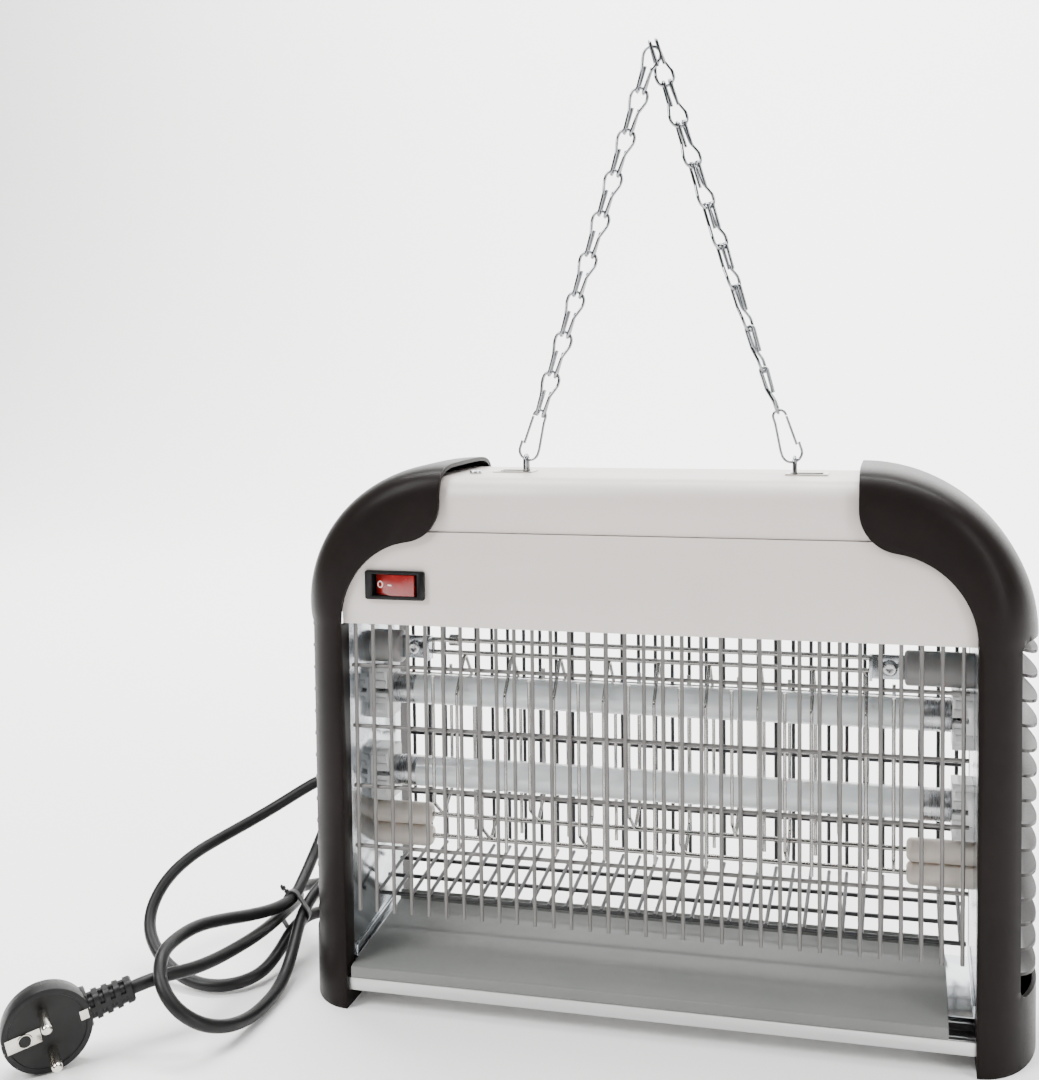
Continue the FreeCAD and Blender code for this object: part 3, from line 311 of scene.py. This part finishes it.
def smoothByAngle(mesh, degrees):
    work = bmesh.new()
    work.from_mesh(mesh)
    limit = math.radians(degrees)
    for edge in work.edges:
        edge.smooth = len(edge.link_faces) == 2 and edge.calc_face_angle(0) < limit
    for face in work.faces:
        face.smooth = True
    work.to_mesh(mesh)
    work.free()


def applyModifiers(piece):
    bpy.context.view_layer.update()
    solid = bpy.data.meshes.new_from_object(piece.evaluated_get(bpy.context.evaluated_depsgraph_get()))
    piece.modifiers.clear()
    piece.data = solid


def refine(node, edge=0.35, segments=2, corner=28):
    # a merged copy of a CAD node with its sharp edges rounded, for crisp highlights
    mesh = nodes[node].data.copy()
    mesh.name = node + "Fine"
    mesh.materials.clear()
    work = bmesh.new()
    work.from_mesh(mesh)
    bmesh.ops.remove_doubles(work, verts=work.verts, dist=1e-6)
    bmesh.ops.dissolve_limit(work, angle_limit=math.radians(0.6), verts=work.verts, edges=work.edges)
    work.to_mesh(mesh)
    work.free()
    piece = newObject(node + "Fine", mesh)
    if edge:
        bevel = piece.modifiers.new("edge", "BEVEL")
        bevel.width = edge * mm
        bevel.segments = segments
        bevel.limit_method = "ANGLE"
        bevel.angle_limit = math.radians(corner)
        bevel.use_clamp_overlap = True
        bevel.harden_normals = False
        applyModifiers(piece)
    smoothByAngle(piece.data, 32)
    slot = nodeSlots[node]
    piece.data.materials.clear()
    piece.data.materials.append(materials[slot])
    return finishPiece(piece, bodyOf[node], slot, [node])


def addBlock(work, place, half, edge=0.2):
    # a block with rounded edges; place is its matrix, half its half sizes
    part = bmesh.new()
    bmesh.ops.create_cube(part, size=2, matrix=place @ Matrix.Diagonal((*half, 1)))
    bmesh.ops.bevel(part, geom=list(part.edges), offset=edge, segments=2, affect="EDGES", profile=0.6)
    mesh = bpy.data.meshes.new("block")
    part.to_mesh(mesh)
    part.free()
    work.from_mesh(mesh)
    bpy.data.meshes.remove(mesh)


def addLathe(work, place, outline, segments=40):
    # an outline of (radius, height) pairs turned about the matrix's own Z; closed at its ends
    rings = []
    for radius, height in outline:
        if radius == 0:
            rings.append([work.verts.new(place @ Vector((0, 0, height)))])
            continue
        ring = []
        for step in range(segments):
            a = 2 * math.pi * step / segments
            ring.append(work.verts.new(place @ Vector((radius * math.cos(a), radius * math.sin(a), height))))
        rings.append(ring)
    for low, high in zip(rings, rings[1:]):
        for step in range(segments):
            after = (step + 1) % segments
            corners = [low[step % len(low)], low[after % len(low)], high[after % len(high)],
                       high[step % len(high)]]
            corners = [c for i, c in enumerate(corners) if c not in corners[:i]]
            if len(corners) > 2:
                work.faces.new(corners)


def addRing(work, place, major, minor, segments=40, sides=10):
    outline = []
    for step in range(sides + 1):
        a = 2 * math.pi * step / sides
        outline.append((major + minor * math.cos(a), minor * math.sin(a)))
    addLathe(work, place, outline, segments)


def closePiece(name, work, body, slot, stands=(), angle=35):
    # a finished piece from parts drawn in millimetres
    bmesh.ops.remove_doubles(work, verts=work.verts, dist=1e-4)
    bmesh.ops.scale(work, vec=(mm, mm, mm), verts=work.verts)
    bmesh.ops.recalc_face_normals(work, faces=work.faces)
    mesh = bpy.data.meshes.new(name)
    work.to_mesh(mesh)
    work.free()
    smoothByAngle(mesh, angle)
    return finishPiece(newObject(name, mesh), body, slot, stands)


# node trees for what repeats
def newTree(name, inputs):
    tree = bpy.data.node_groups.new(name, "GeometryNodeTree")
    tree.interface.new_socket("Geometry", in_out="INPUT", socket_type="NodeSocketGeometry")
    for label, kind, value in inputs:
        socket = tree.interface.new_socket(label, in_out="INPUT", socket_type="NodeSocket" + kind)
        if value is not None:
            socket.default_value = value
    tree.interface.new_socket("Geometry", in_out="OUTPUT", socket_type="NodeSocketGeometry")
    return tree, tree.nodes.new("NodeGroupInput").outputs


def closeTree(tree, geometry, material):
    real = addNode(tree, "GeometryNodeRealizeInstances", {"Geometry": geometry}).outputs[0]
    smooth = addNode(tree, "GeometryNodeSetShadeSmooth", {"Geometry": real}).outputs[0]
    painted = addNode(tree, "GeometryNodeSetMaterial", {"Geometry": smooth, "Material": material}).outputs[0]
    out = tree.nodes.new("NodeGroupOutput")
    tree.links.new(painted, out.inputs[0])


def runTree(piece, tree, values):
    # sets the tree's inputs on a modifier, then keeps only the finished mesh
    modifier = piece.modifiers.new("nodes", "NODES")
    modifier.node_group = tree
    for item in tree.interface.items_tree:
        if item.in_out == "INPUT" and item.name in values:
            modifier[item.identifier] = values[item.name]
    applyModifiers(piece)
    smoothByAngle(piece.data, 40)


def makeWireRowTree():
    # equal straight wires, one at each step, each a little off true
    tree, given = newTree("wireRow", [
        ("Count", "Int", 33), ("First", "Vector", None), ("Step", "Vector", None), ("Run", "Vector", None),
        ("Radius", "Float", 0.001), ("Sway", "Float", 0.002), ("Seed", "Int", 7), ("Sides", "Int", 10),
        ("Material", "Material", None)])
    row = addNode(tree, "GeometryNodeMeshLine", {"Count": given["Count"], "Start Location": given["First"],
                                                 "Offset": given["Step"]})
    line = addNode(tree, "GeometryNodeCurvePrimitiveLine", {"End": given["Run"]})
    ring = addNode(tree, "GeometryNodeCurvePrimitiveCircle",
                   {"Resolution": given["Sides"], "Radius": given["Radius"]})
    wire = addNode(tree, "GeometryNodeCurveToMesh",
                   {"Curve": line.outputs[0], "Profile Curve": ring.outputs[0],
                                                     "Fill Caps": True})
    less = addNode(tree, "ShaderNodeMath", {0: given["Sway"], 1: -1.0}, operation="MULTIPLY")
    turn = addNode(tree, "FunctionNodeRandomValue", {"Seed": given["Seed"]}, data_type="FLOAT_VECTOR")
    tree.links.new(less.outputs[0], turn.inputs["Min"])
    tree.links.new(given["Sway"], turn.inputs["Max"])
    copies = addNode(tree, "GeometryNodeInstanceOnPoints",
                     {"Points": row.outputs[0], "Instance": wire.outputs[0],
                                                            "Rotation": turn.outputs[0]})
    closeTree(tree, copies.outputs[0], given["Material"])
    return tree


def makeStrandTree():
    # copies of one bent wire along a straight strand, each turned a little further about it
    tree, given = newTree("chainStrand", [
        ("Count", "Int", 9), ("First", "Vector", None), ("Step", "Vector", None),
        ("Facing", "Rotation", None),
        ("Start Twist", "Float", 0.0), ("Twist Step", "Float", 0.0), ("Wire Radius", "Float", 0.00065),
        ("Sides", "Int", 8), ("Loose", "Float", 0.02), ("Seed", "Int", 3), ("Material", "Material", None)])
    row = addNode(tree, "GeometryNodeMeshLine", {"Count": given["Count"], "Start Location": given["First"],
                                                 "Offset": given["Step"]})
    ring = addNode(tree, "GeometryNodeCurvePrimitiveCircle", {"Resolution": given["Sides"],
                                                              "Radius": given["Wire Radius"]})
    link = addNode(tree, "GeometryNodeCurveToMesh",
                   {"Curve": given["Geometry"], "Profile Curve": ring.outputs[0],
                                                     "Fill Caps": True})
    index = addNode(tree, "GeometryNodeInputIndex")
    step = addNode(tree, "ShaderNodeMath", {0: index.outputs[0], 1: given["Twist Step"]},
                   operation="MULTIPLY")
    angle = addNode(tree, "ShaderNodeMath", {0: step.outputs[0], 1: given["Start Twist"]}, operation="ADD")
    twist = addNode(tree, "FunctionNodeAxisAngleToRotation", {"Axis": (0, 1, 0), "Angle": angle.outputs[0]})
    turned = addNode(tree, "FunctionNodeRotateRotation",
                     {"Rotation": given["Facing"], "Rotate By": twist.outputs[0]},
                     rotation_space="LOCAL")
    copies = addNode(tree, "GeometryNodeInstanceOnPoints",
                     {"Points": row.outputs[0], "Instance": link.outputs[0],
                                                            "Rotation": turned.outputs[0]})
    closeTree(tree, copies.outputs[0], given["Material"])
    return tree


wireRowTree = makeWireRowTree()
strandTree = makeStrandTree()


def joinPieces(name, pieces):
    # one mesh from several finished ones
    work = bmesh.new()
    for piece in pieces:
        work.from_mesh(piece.data)
    mesh = bpy.data.meshes.new(name)
    work.to_mesh(mesh)
    work.free()
    for material in pieces[0].data.materials:
        mesh.materials.append(material)
    for piece in pieces:
        bpy.data.objects.remove(piece)
    return newObject(name, mesh)


# mains cord
cordLook = {
    "diameter": 6.5,
    "length": 1.115,
    "plugCentre": (-265.0, -131.0, 20.3),
    "plugTurn": 42.0,
    "plugRoll": 12.0,
    "reliefEnd": 40.0,
    "reliefBehind": 7.5,
}
faceTurn, plugRoll = math.radians(cordLook["plugTurn"]), math.radians(cordLook["plugRoll"])
pinWay = Vector((math.sin(faceTurn), -math.cos(faceTurn), 0))
plugSide = Vector((math.cos(faceTurn), math.sin(faceTurn), 0))
cordWay = plugSide * math.cos(plugRoll) + Vector((0, 0, 1)) * math.sin(plugRoll)
plugUp = Vector((0, 0, 1)) * math.cos(plugRoll) - plugSide * math.sin(plugRoll)
plugCentre = Vector(cordLook["plugCentre"])
cordEnd = plugCentre + cordWay * cordLook["reliefEnd"] - pinWay * cordLook["reliefBehind"]
glandTurn = math.radians(55)
glandWay = Vector((-math.cos(glandTurn) / 29.5, math.sin(glandTurn) / 44.5, 0)).normalized()
cordStart = Vector((-154.5 - 29.5 * math.cos(glandTurn), 44.5 * math.sin(glandTurn), 130.0)) + glandWay * 24.4
cordRoute = [
    cordStart, cordStart + glandWay * 12,
    # down behind the cap to the tie
    (-206, 69.5, 127.5), (-212, 77, 120), (-215, 81.5, 108), (-215, 81, 94.5), (-213, 75.5, 81),
    (-211, 65, 69), (-210, 53, 57.5), (-210, 38, 47), (-209.5, 22, 38), (-208.5, 6, 31.5),
    # the small loop in front
    (-212, -11, 32.5), (-218, -27, 35.5), (-224.5, -43, 39.5), (-230, -58.5, 42.5), (-232.5, -74.5, 42.5),
    (-231, -90, 42), (-225, -102, 34.5), (-214.5, -107, 25), (-203.5, -103, 16), (-196.5, -91, 9.5),
    (-194, -73.5, 5), (-193.5, -57, 4.2), (-194.5, -40, 4.8), (-197, -24.5, 8.5), (-200.5, -9, 15.5),
    (-203.5, 6, 24),
    # up behind the cap and round the large loop at the left
    (-202, 21, 31.5), (-196, 35.5, 37), (-187.4, 48, 43), (-182, 55.5, 53), (-181, 57.7, 65.6),
    (-186.1, 56, 78.4), (-197.5, 53.5, 85.9), (-210.4, 50.4, 85.8), (-223, 47, 78.5), (-235.5, 42.5, 70.5),
    (-248.5, 35, 63), (-262, 24, 56), (-273, 11.5, 50), (-280.5, -2, 42), (-283, -14, 32),
    (-280, -24, 22.5), (-271, -32, 14.5), (-259, -38, 8.5), (-245, -43, 5), (-231, -45, 4.2),
    (-219, -40.2, 4.2), (-210.5, -29.5, 5.5), (-208.5, -14.5, 9), (-208.5, 5, 16.5),
    # a turn on the floor behind the cap
    (-205.5, 21.5, 17.5), (-198, 36, 14), (-190.5, 49, 9.5), (-184.5, 62, 6), (-185, 77, 4.4),
    (-192.5, 89.5, 4.2), (-206, 95.5, 4.6), (-220.5, 93, 6), (-231, 82.5, 8.5), (-234.5, 68.5, 11.5),
    (-231, 54.5, 15), (-223, 41.5, 18.5), (-216.5, 27.5, 22), (-213.5, 11, 24.5),
    # from the tie to the plug
    (-213, -12, 24.5), (-214, -29, 25), (-216, -46, 26), (-219, -62, 27), (-223.5, -76.5, 28.5),
    cordEnd + cordWay * 11.5, cordEnd,
]


def makeCord():
    curve = bpy.data.curves.new("mainsCord", "CURVE")
    curve.dimensions = "3D"
    spline = curve.splines.new("NURBS")
    spline.points.add(len(cordRoute) - 1)
    for point, place in zip(spline.points, cordRoute):
        point.co = (*(Vector(place) * mm), 1)
    spline.order_u = 3
    spline.use_endpoint_u = True
    spline.resolution_u = 10
    curve.bevel_depth = cordLook["diameter"] / 2 * mm
    curve.bevel_resolution = 7
    curve.use_fill_caps = True
    curve.resolution_u = 10
    curve.materials.append(materials["black_pvc"])
    cord = newObject("mainsCord", curve)
    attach(cord, "housing")
    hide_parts("mains_cord")
    return cord


plugLook = {
    "radius": 20.0, "depth": 14.0, "pinApart": 19.0, "pin": 2.4, "pinLong": 19.0, "socketX": -10.0,
    "reliefStart": 17.0, "reliefLong": 23.0, "reliefWide": (6.6, 5.4), "slots": 4, "slotDeep": 1.3,
}


def plugPlace(x=0.0, y=0.0, z=0.0):
    # plug axes, X along the cord and Z along the pins, moved to a point of the plug
    axes = Matrix((cordWay, plugUp, pinWay)).transposed().to_4x4()
    return Matrix.Translation(plugCentre) @ axes @ Matrix.Translation((x, y, z))


def makePlug():
    p = plugLook
    # moulded body: stepped disc, domed back, raised face rim, two guide lugs and the cord's boss
    work = bmesh.new()
    r, depth = p["radius"], p["depth"]
    addLathe(work, plugPlace(),
             [(0, -0.6), (r - 3.2, -0.6), (r - 2.9, -0.45), (r - 2.7, 0), (r - 0.9, 0), (r - 0.25, -0.3),
                                 (r, -1.0), (r, -6.5), (r - 0.5, -7.0), (r - 0.5, -depth + 2),
                                 (r - 1.2, -depth + 0.4),
                                 (r - 3, -depth), (r - 4, -depth - 1.5), (r - 5.5, -depth - 3.8),
                                 (r - 8, -depth - 4.8),
                                 (0, -depth - 5)], 72)
    for side in (-1, 1):
        addBlock(work, plugPlace(0.0, side * (r - 1.75), -5.2), (2.6, 1.6, 5.0), 0.35)
    addBlock(work, plugPlace(r - 7.5, 0, -8.5), (7.2, 8.2, 6.0), 1.2)
    body = closePiece("plugBody", work, "housing", "black_pvc", ["plug_body"])
    # two pins with domed ends
    work = bmesh.new()
    pin, long = p["pin"], p["pinLong"]
    for side in (-1, 1):
        addLathe(work, plugPlace(0, side * p["pinApart"] / 2), [
            (0, -7), (pin, -7), (pin, long - 1.6), (pin - 0.25, long - 0.75), (pin - 0.9, long - 0.15),
            (0, long)], 32)
    pins = closePiece("plugPins", work, "housing", "plated_rim", ["plug_pins"])
    # earth contacts: a long plate with the round socket's lip, a short one opposite, both bent over the edge
    work = bmesh.new()
    addBlock(work, plugPlace(p["socketX"] - 0.6, 0, -0.25), (7.6, 3.4, 0.3), 0.12)
    addBlock(work, plugPlace(-r + 0.9, 0, -5.4), (0.45, 2.6, 5.2), 0.15)
    addBlock(work, plugPlace(r - 3.4, 0.6, -0.15), (1.9, 2.3, 0.35), 0.12)
    addBlock(work, plugPlace(r - 0.9, 0.6, -5.4), (0.45, 2.3, 5.2), 0.15)
    addRing(work, plugPlace(p["socketX"], 0, 0.1), 3.0, 0.45, 48, 10)
    contacts = closePiece("plugContacts", work, "housing", "plated_rim", ["plug_earth_clips"])
    work = bmesh.new()
    addLathe(work, plugPlace(p["socketX"], 0, 0), [(0, 0.16), (2.75, 0.16), (2.75, 0.02), (0, 0.02)], 48)
    socket = closePiece("plugSocket", work, "housing", "black_pvc")
    # strain relief: a tapered, squarish sleeve with rows of slots that let it bend
    work = bmesh.new()
    start, long = p["reliefStart"] - 1.0, p["reliefLong"] + 1.0
    wide, narrow = p["reliefWide"]
    rings, rounds = 96, 64
    rows = []
    for i in range(rings + 1):
        share = i / rings
        half = wide + (narrow - wide) * share
        if share > 0.97:
            half -= (share - 0.97) * 22
        phase = ((share - 0.12) / 0.8 * p["slots"]) % 1.0
        cut = 0.12 < share < 0.92 and 0.18 < phase < 0.62
        row = []
        for k in range(rounds):
            a = 2 * math.pi * k / rounds
            square = (abs(math.cos(a)) ** 4 + abs(math.sin(a)) ** 4) ** -0.25
            bridge = min(abs(math.cos(a)), abs(math.sin(a))) < 0.2
            radius = half * square - (p["slotDeep"] if cut and not bridge else 0)
            row.append(work.verts.new(plugPlace(start + long * share, 0, -cordLook["reliefBehind"]) @ Vector(
                (0, radius * math.cos(a), radius * math.sin(a)))))
        rows.append(row)
    for low, high in zip(rows, rows[1:]):
        for k in range(rounds):
            work.faces.new((low[k], low[(k + 1) % rounds], high[(k + 1) % rounds], high[k]))
    work.faces.new(rows[0][::-1])
    work.faces.new(rows[-1])
    relief = closePiece("plugRelief", work, "housing", "black_pvc", ["plug_strain_relief"], 25)
    return [body, pins, contacts, socket, relief]


tieLook = {"at": 6.0, "near": -190.0, "gap": 0.25, "thick": 0.9, "wide": 3.0}


def cordPoints():
    # the cord's centre line, read from its spline with no bevel
    bare = mainsCord.data.copy()
    bare.bevel_depth = 0
    line = newObject("centreLine", bare)
    bpy.context.view_layer.update()
    mesh = bpy.data.meshes.new_from_object(line.evaluated_get(bpy.context.evaluated_depsgraph_get()))
    points = [v.co / mm for v in mesh.vertices]
    bpy.data.objects.remove(line)
    return points


def makeTie():
    k = tieLook
    points = cordPoints()
    passes = []
    for a, b in zip(points, points[1:]):
        crossing = (a.y - k["at"]) * (b.y - k["at"]) <= 0
        if crossing and a.x < k["near"] and b.x < k["near"] and a.z < 60 and a.x > -250:
            share = (k["at"] - a.y) / (b.y - a.y)
            passes.append((a.x + (b.x - a.x) * share, a.z + (b.z - a.z) * share))
    # the furthest reach in each direction gives a loop pulled tight round the passes
    reach = cordLook["diameter"] / 2 + k["gap"]
    loop = []
    steps = 72
    for step in range(steps):
        turn = 2 * math.pi * step / steps
        way = (math.cos(turn), math.sin(turn))
        x, z = max(passes, key=lambda c: c[0] * way[0] + c[1] * way[1])
        loop.append((x + way[0] * reach, z + way[1] * reach, way))
    work = bmesh.new()
    rows = []
    for x, z, way in loop:
        inner = [(0, -k["wide"] / 2), (0, k["wide"] / 2), (k["thick"], k["wide"] / 2),
                 (k["thick"], -k["wide"] / 2)]
        rows.append([work.verts.new((x + way[0] * out, k["at"] + across, z + way[1] * out)) for out,
                     across in inner])
    for low, high in zip(rows, rows[1:] + rows[:1]):
        for i in range(4):
            work.faces.new((low[i], low[(i + 1) % 4], high[(i + 1) % 4], high[i]))
    # twisted ends of the tie, standing off at the outer side
    top = max(loop, key=lambda c: c[1] - c[0])
    for step in range(9):
        turn = Matrix.Rotation(math.radians(40 * step), 4, "Z")
        lean = Matrix.Rotation(math.radians(-50), 4, "Y")
        place = (Matrix.Translation((top[0], k["at"], top[1])) @ lean
                 @ Matrix.Translation((0, 0, 0.6 + 0.62 * step)))
        addBlock(work, place @ turn, (1.3, 0.5, 0.42), 0.15)
    return closePiece("cordTie", work, "housing", "clip_band", ["cord_tie"])


mainsCord = makeCord()
tie = makeTie()
gland = refine("cord_gland", 0.4, 3)
plugParts = makePlug()
print("cord made")

# guard grilles
guardLook = {
    "pitch": 9.27, "count": 33, "wire": 1.0, "sway": 0.0012,
    "plane": 39.5, "top": 204.0, "frontTip": 50.0, "rearTip": 60.0,
    "crossHalf": 151.0, "weld": 1.7,
    "frontCross": (83.0, 31.0, 4), "rearCross": (86.0, 34.0, 4),
    "floorFront": (-15.0, 50.0), "floorRear": (39.5, 58.0), "floorCross": (22.0, -17.5, 3),
}


def wireRow(name, first, step, count, run, radius, slot, sway):
    piece = newObject(name, bpy.data.meshes.new(name))
    runTree(piece, wireRowTree, {
        "Count": count, "First": Vector(first) * mm, "Step": Vector(step) * mm, "Run": Vector(run) * mm,
        "Radius": radius * mm, "Sway": sway, "Seed": len(name), "Material": materials[slot]})
    return piece


def makeGuards():
    g = guardLook
    firstX = -(g["count"] - 1) / 2 * g["pitch"]
    along = (2 * g["crossHalf"], 0, 0)
    for side, tip, cross, node in ((-1, g["frontTip"], g["frontCross"], "front_grille"),
                                   (1, g["rearTip"], g["rearCross"], "rear_grille")):
        slot = nodeSlots[node]
        uprights = wireRow(node + "Uprights", (firstX, side * g["plane"], g["top"]), (g["pitch"], 0, 0),
                           g["count"],
                           (0, 0, tip - g["top"]), g["wire"], slot, g["sway"])
        crossY = side * (g["plane"] - g["weld"])
        crosses = wireRow(node + "Crosses", (-g["crossHalf"], crossY, cross[0]), (0, 0, cross[1]), cross[2],
                          along,
                          g["wire"], slot, 0)
        finishPiece(joinPieces(node + "Wires", [uprights, crosses]), "housing", slot, [node])
    low, high = g["floorFront"], g["floorRear"]
    slope = (high[1] - low[1]) / (high[0] - low[0])
    # the floor wires take the rear wire's near-black colour, which is painted shade
    runs = wireRow("floorRuns", (firstX, low[0], low[1]), (g["pitch"], 0, 0), g["count"],
                   (0, high[0] - low[0], high[1] - low[1]), g["wire"], "rear_wire", g["sway"])
    crossY, crossStep, crossCount = g["floorCross"]
    crossZ = low[1] + (crossY - low[0]) * slope - g["weld"]
    crosses = wireRow("floorCrosses", (-g["crossHalf"], crossY, crossZ), (0, crossStep, crossStep * slope),
                      crossCount,
                      along, g["wire"] + 0.1, "rear_wire", 0)
    finishPiece(joinPieces("floorGrilleWires", [runs, crosses]), "housing", "rear_wire", ["floor_grille"])


makeGuards()
print("guard grilles made")

# hanging chain
chainLook = {
    "eyeX": 69.0, "swingZ": 278.6, "apexZ": 485.4, "count": 9, "wire": 0.8, "freeEnd": 11.0, "endLean": 0.8,
    "leftFoot": 26.15, "rightFoot": 25.1, "rightTop": 0.9, "rightTwist": 90.0, "twistStep": -10.0,
    "waist": (2.3, 8.5, -1.7), "bulbAt": 15.0, "softBends": [5.0, 6.0], "bulb": 4.3, "hookHalf": 1.7,
    "hookLow": 2.4, "hookApart": 1.7,
}


def roundedPath(points, radii, steps=6):
    # corners of a bent wire drawn as arcs
    points = [Vector(p) for p in points]
    path = [points[0]]
    for i, radius in enumerate(radii, 1):
        corner = points[i]
        back, ahead = (points[i - 1] - corner).normalized(), (points[i + 1] - corner).normalized()
        halfTurn = (math.pi - back.angle(ahead)) / 2
        inward = (back + ahead).normalized()
        centre = corner + inward * radius / math.cos(halfTurn)
        start = corner + back * radius * math.tan(halfTurn) - centre
        axis = back.cross(ahead).normalized()
        for step in range(steps + 1):
            path.append(centre + Matrix.Rotation(-2 * halfTurn * step / steps, 3, axis) @ start)
    return path + [points[-1]]


def makeStrand(name, node, side, first, sense, pitch, count, twist, twistStep):
    c = chainLook
    half = [(c["hookApart"], c["freeEnd"], c["endLean"]), (c["hookApart"], -c["hookLow"], c["hookHalf"]),
            (c["hookApart"], -c["hookLow"], -c["hookHalf"]), c["waist"], (c["bulb"], c["bulbAt"], 0),
            (c["bulb"], pitch, 0)]
    whole = half + [(-u, d, w) for u, d, w in half[::-1]]
    bends = [c["hookHalf"] - 0.05] * 2 + c["softBends"] + [c["bulb"] - 0.02]
    # the copies' third axis points away from the CAD's, so w changes sign
    path = roundedPath([(u, sense * d, -sense * w) for u, d, w in whole], bends + bends[::-1])
    curve = bpy.data.curves.new(name, "CURVE")
    curve.dimensions = "3D"
    spline = curve.splines.new("POLY")
    spline.points.add(len(path) - 1)
    for point, place in zip(spline.points, path):
        point.co = (*(place * mm), 1)
    lean = math.atan2(c["eyeX"], c["apexZ"] - c["swingZ"])
    along = Vector((-side * math.sin(lean), 0, math.cos(lean)))
    across = Vector((math.cos(lean), 0, side * math.sin(lean)))
    facing = Matrix((across, along, (0, -1, 0))).transposed()
    bent = newObject(name + "Bent", curve)
    piece = newObject(name, bpy.data.meshes.new(name))
    bent.data.materials.append(materials["zinc_wire"])
    modifier = bent.modifiers.new("nodes", "NODES")
    modifier.node_group = strandTree
    values = {"Count": count, "First": (Vector((side * c["eyeX"], 0, c["swingZ"])) + along * first) * mm,
              "Step": along * pitch * mm, "Facing": facing.to_euler(), "Start Twist": math.radians(twist),
              "Twist Step": math.radians(twistStep), "Wire Radius": c["wire"] * mm,
              "Material": materials["zinc_wire"]}
    for item in strandTree.interface.items_tree:
        if item.in_out == "INPUT" and item.name in values:
            modifier[item.identifier] = values[item.name]
    bpy.context.view_layer.update()
    piece.data = bpy.data.meshes.new_from_object(bent.evaluated_get(bpy.context.evaluated_depsgraph_get()))
    bpy.data.objects.remove(bent)
    smoothByAngle(piece.data, 60)
    return finishPiece(piece, "chain", "zinc_wire", [node])


def makeChain():
    c = chainLook
    strand = math.hypot(c["eyeX"], c["apexZ"] - c["swingZ"])
    leftPitch = (strand - c["leftFoot"]) / c["count"]
    rightPitch = (strand + c["rightTop"] - c["rightFoot"]) / c["count"]
    makeStrand("leftChain", "chain_left", -1, c["leftFoot"], 1, leftPitch, c["count"] - 1, 0, 0)
    makeStrand("topLink", "hanging_link", -1, c["leftFoot"] + (c["count"] - 1) * leftPitch, 1, leftPitch, 1,
               0, 0)
    makeStrand("rightChain", "chain_right", 1, c["rightFoot"] + rightPitch, -1, rightPitch, c["count"],
               c["rightTwist"], c["twistStep"])


makeChain()
print("chain made")

# marks on the rocker
rockerLook = {"pivot": (-125.4, -40.4, 218.3), "rest": -10.0, "half": 10.9, "offAt": -8.1, "onAt": -1.9,
              "ring": 1.55, "line": 0.27, "dash": 1.25, "ridge": 4.1, "pressed": 1.9}


def makeRockerMarks():
    k = rockerLook
    # the left half of the rocker's face slopes from its middle ridge to its pressed-in end
    slope = math.atan2(k["ridge"] - k["pressed"], k["half"])
    work = bmesh.new()
    for x in (k["offAt"], k["onAt"]):
        y = -k["ridge"] + abs(x) * math.tan(slope)
        place = (Matrix.Translation(k["pivot"]) @ Matrix.Rotation(math.radians(k["rest"]), 4, "Z")
                 @ Matrix.Translation((x, y - 0.03, 0)) @ Matrix.Rotation(-slope, 4, "Z")
                 @ Matrix.Rotation(math.radians(90), 4, "X"))
        if x == k["offAt"]:
            addRing(work, place, k["ring"], k["line"], 36, 8)
        else:
            addBlock(work, place, (k["dash"], k["line"], 0.12), 0.05)
    closePiece("rockerMarks", work, "rocker", "stamped_mark")


makeRockerMarks()

# rings and guide arms on the lamp holders, which stay with the housing
holderLook = {"faceX": 144.3, "zs": (155.6, 111.2), "ring": 6.3, "wire": 0.8,
              "armOut": 3.5, "armY": -9.6, "armApart": 4.6, "arm": (2.8, 0.9, 1.0),
              "tabOut": 5.6, "tabY": -9.7, "tabApart": 8.4, "tab": (4.0, 0.7, 1.6), "rounding": 0.4}


def makeRotors():
    k = holderLook
    for side in (-1, 1):
        for z, level in zip(k["zs"], ("Upper", "Lower")):
            work = bmesh.new()
            face = Matrix.Translation((side * k["faceX"], 0, z)) @ Matrix.Rotation(math.radians(90), 4, "Y")
            addRing(work, face, k["ring"], k["wire"], 44, 10)
            for across in (-1, 1):
                # curved guide arms in front of the block, either side of the way in for the pins
                for part in ("arm", "tab"):
                    place = (side * (k["faceX"] + k[part + "Out"]), k[part + "Y"],
                             z + across * k[part + "Apart"])
                    addBlock(work, Matrix.Translation(place), k[part], k["rounding"])
            closePiece(("left" if side < 0 else "right") + level + "Rotor", work, "housing", "clear_holder")


makeRotors()
print("switch marks and rotors made")

# every other node gets rounded edges and its finish
edgeSizes = {
    "left_end_cap": 0.7, "right_end_cap": 0.7, "top_cover": 0.25, "front_panel": 0.3, "rear_panel": 0.3,
    "tray": 0.2, "bottom_rail": 0.25, "switch_bezel": 0.3, "switch_rocker": 0.3, "switch_body": 0,
    "left_side_plate": 0.1, "right_side_plate": 0.1, "mains_cord": None, "cord_tie": None, "cord_gland": None,
    "plug_body": None, "plug_pins": None, "plug_earth_clips": None, "plug_strain_relief": None,
    "front_grille": None, "rear_grille": None, "floor_grille": None, "chain_left": None, "chain_right": None,
    "hanging_link": None,
}
plain = {"upper_grid", "lower_grid", "left_clip", "right_clip", "left_clip_gate", "right_clip_gate",
         "hanging_eyes",
         "inner_wiring", "upper_lamp_tube", "lower_lamp_tube"}
for name in sorted(nodes):
    size = edgeSizes.get(name, 0.3)
    if size is None:
        continue
    refine(name, 0 if name in plain else size)
print("housing pieces made")
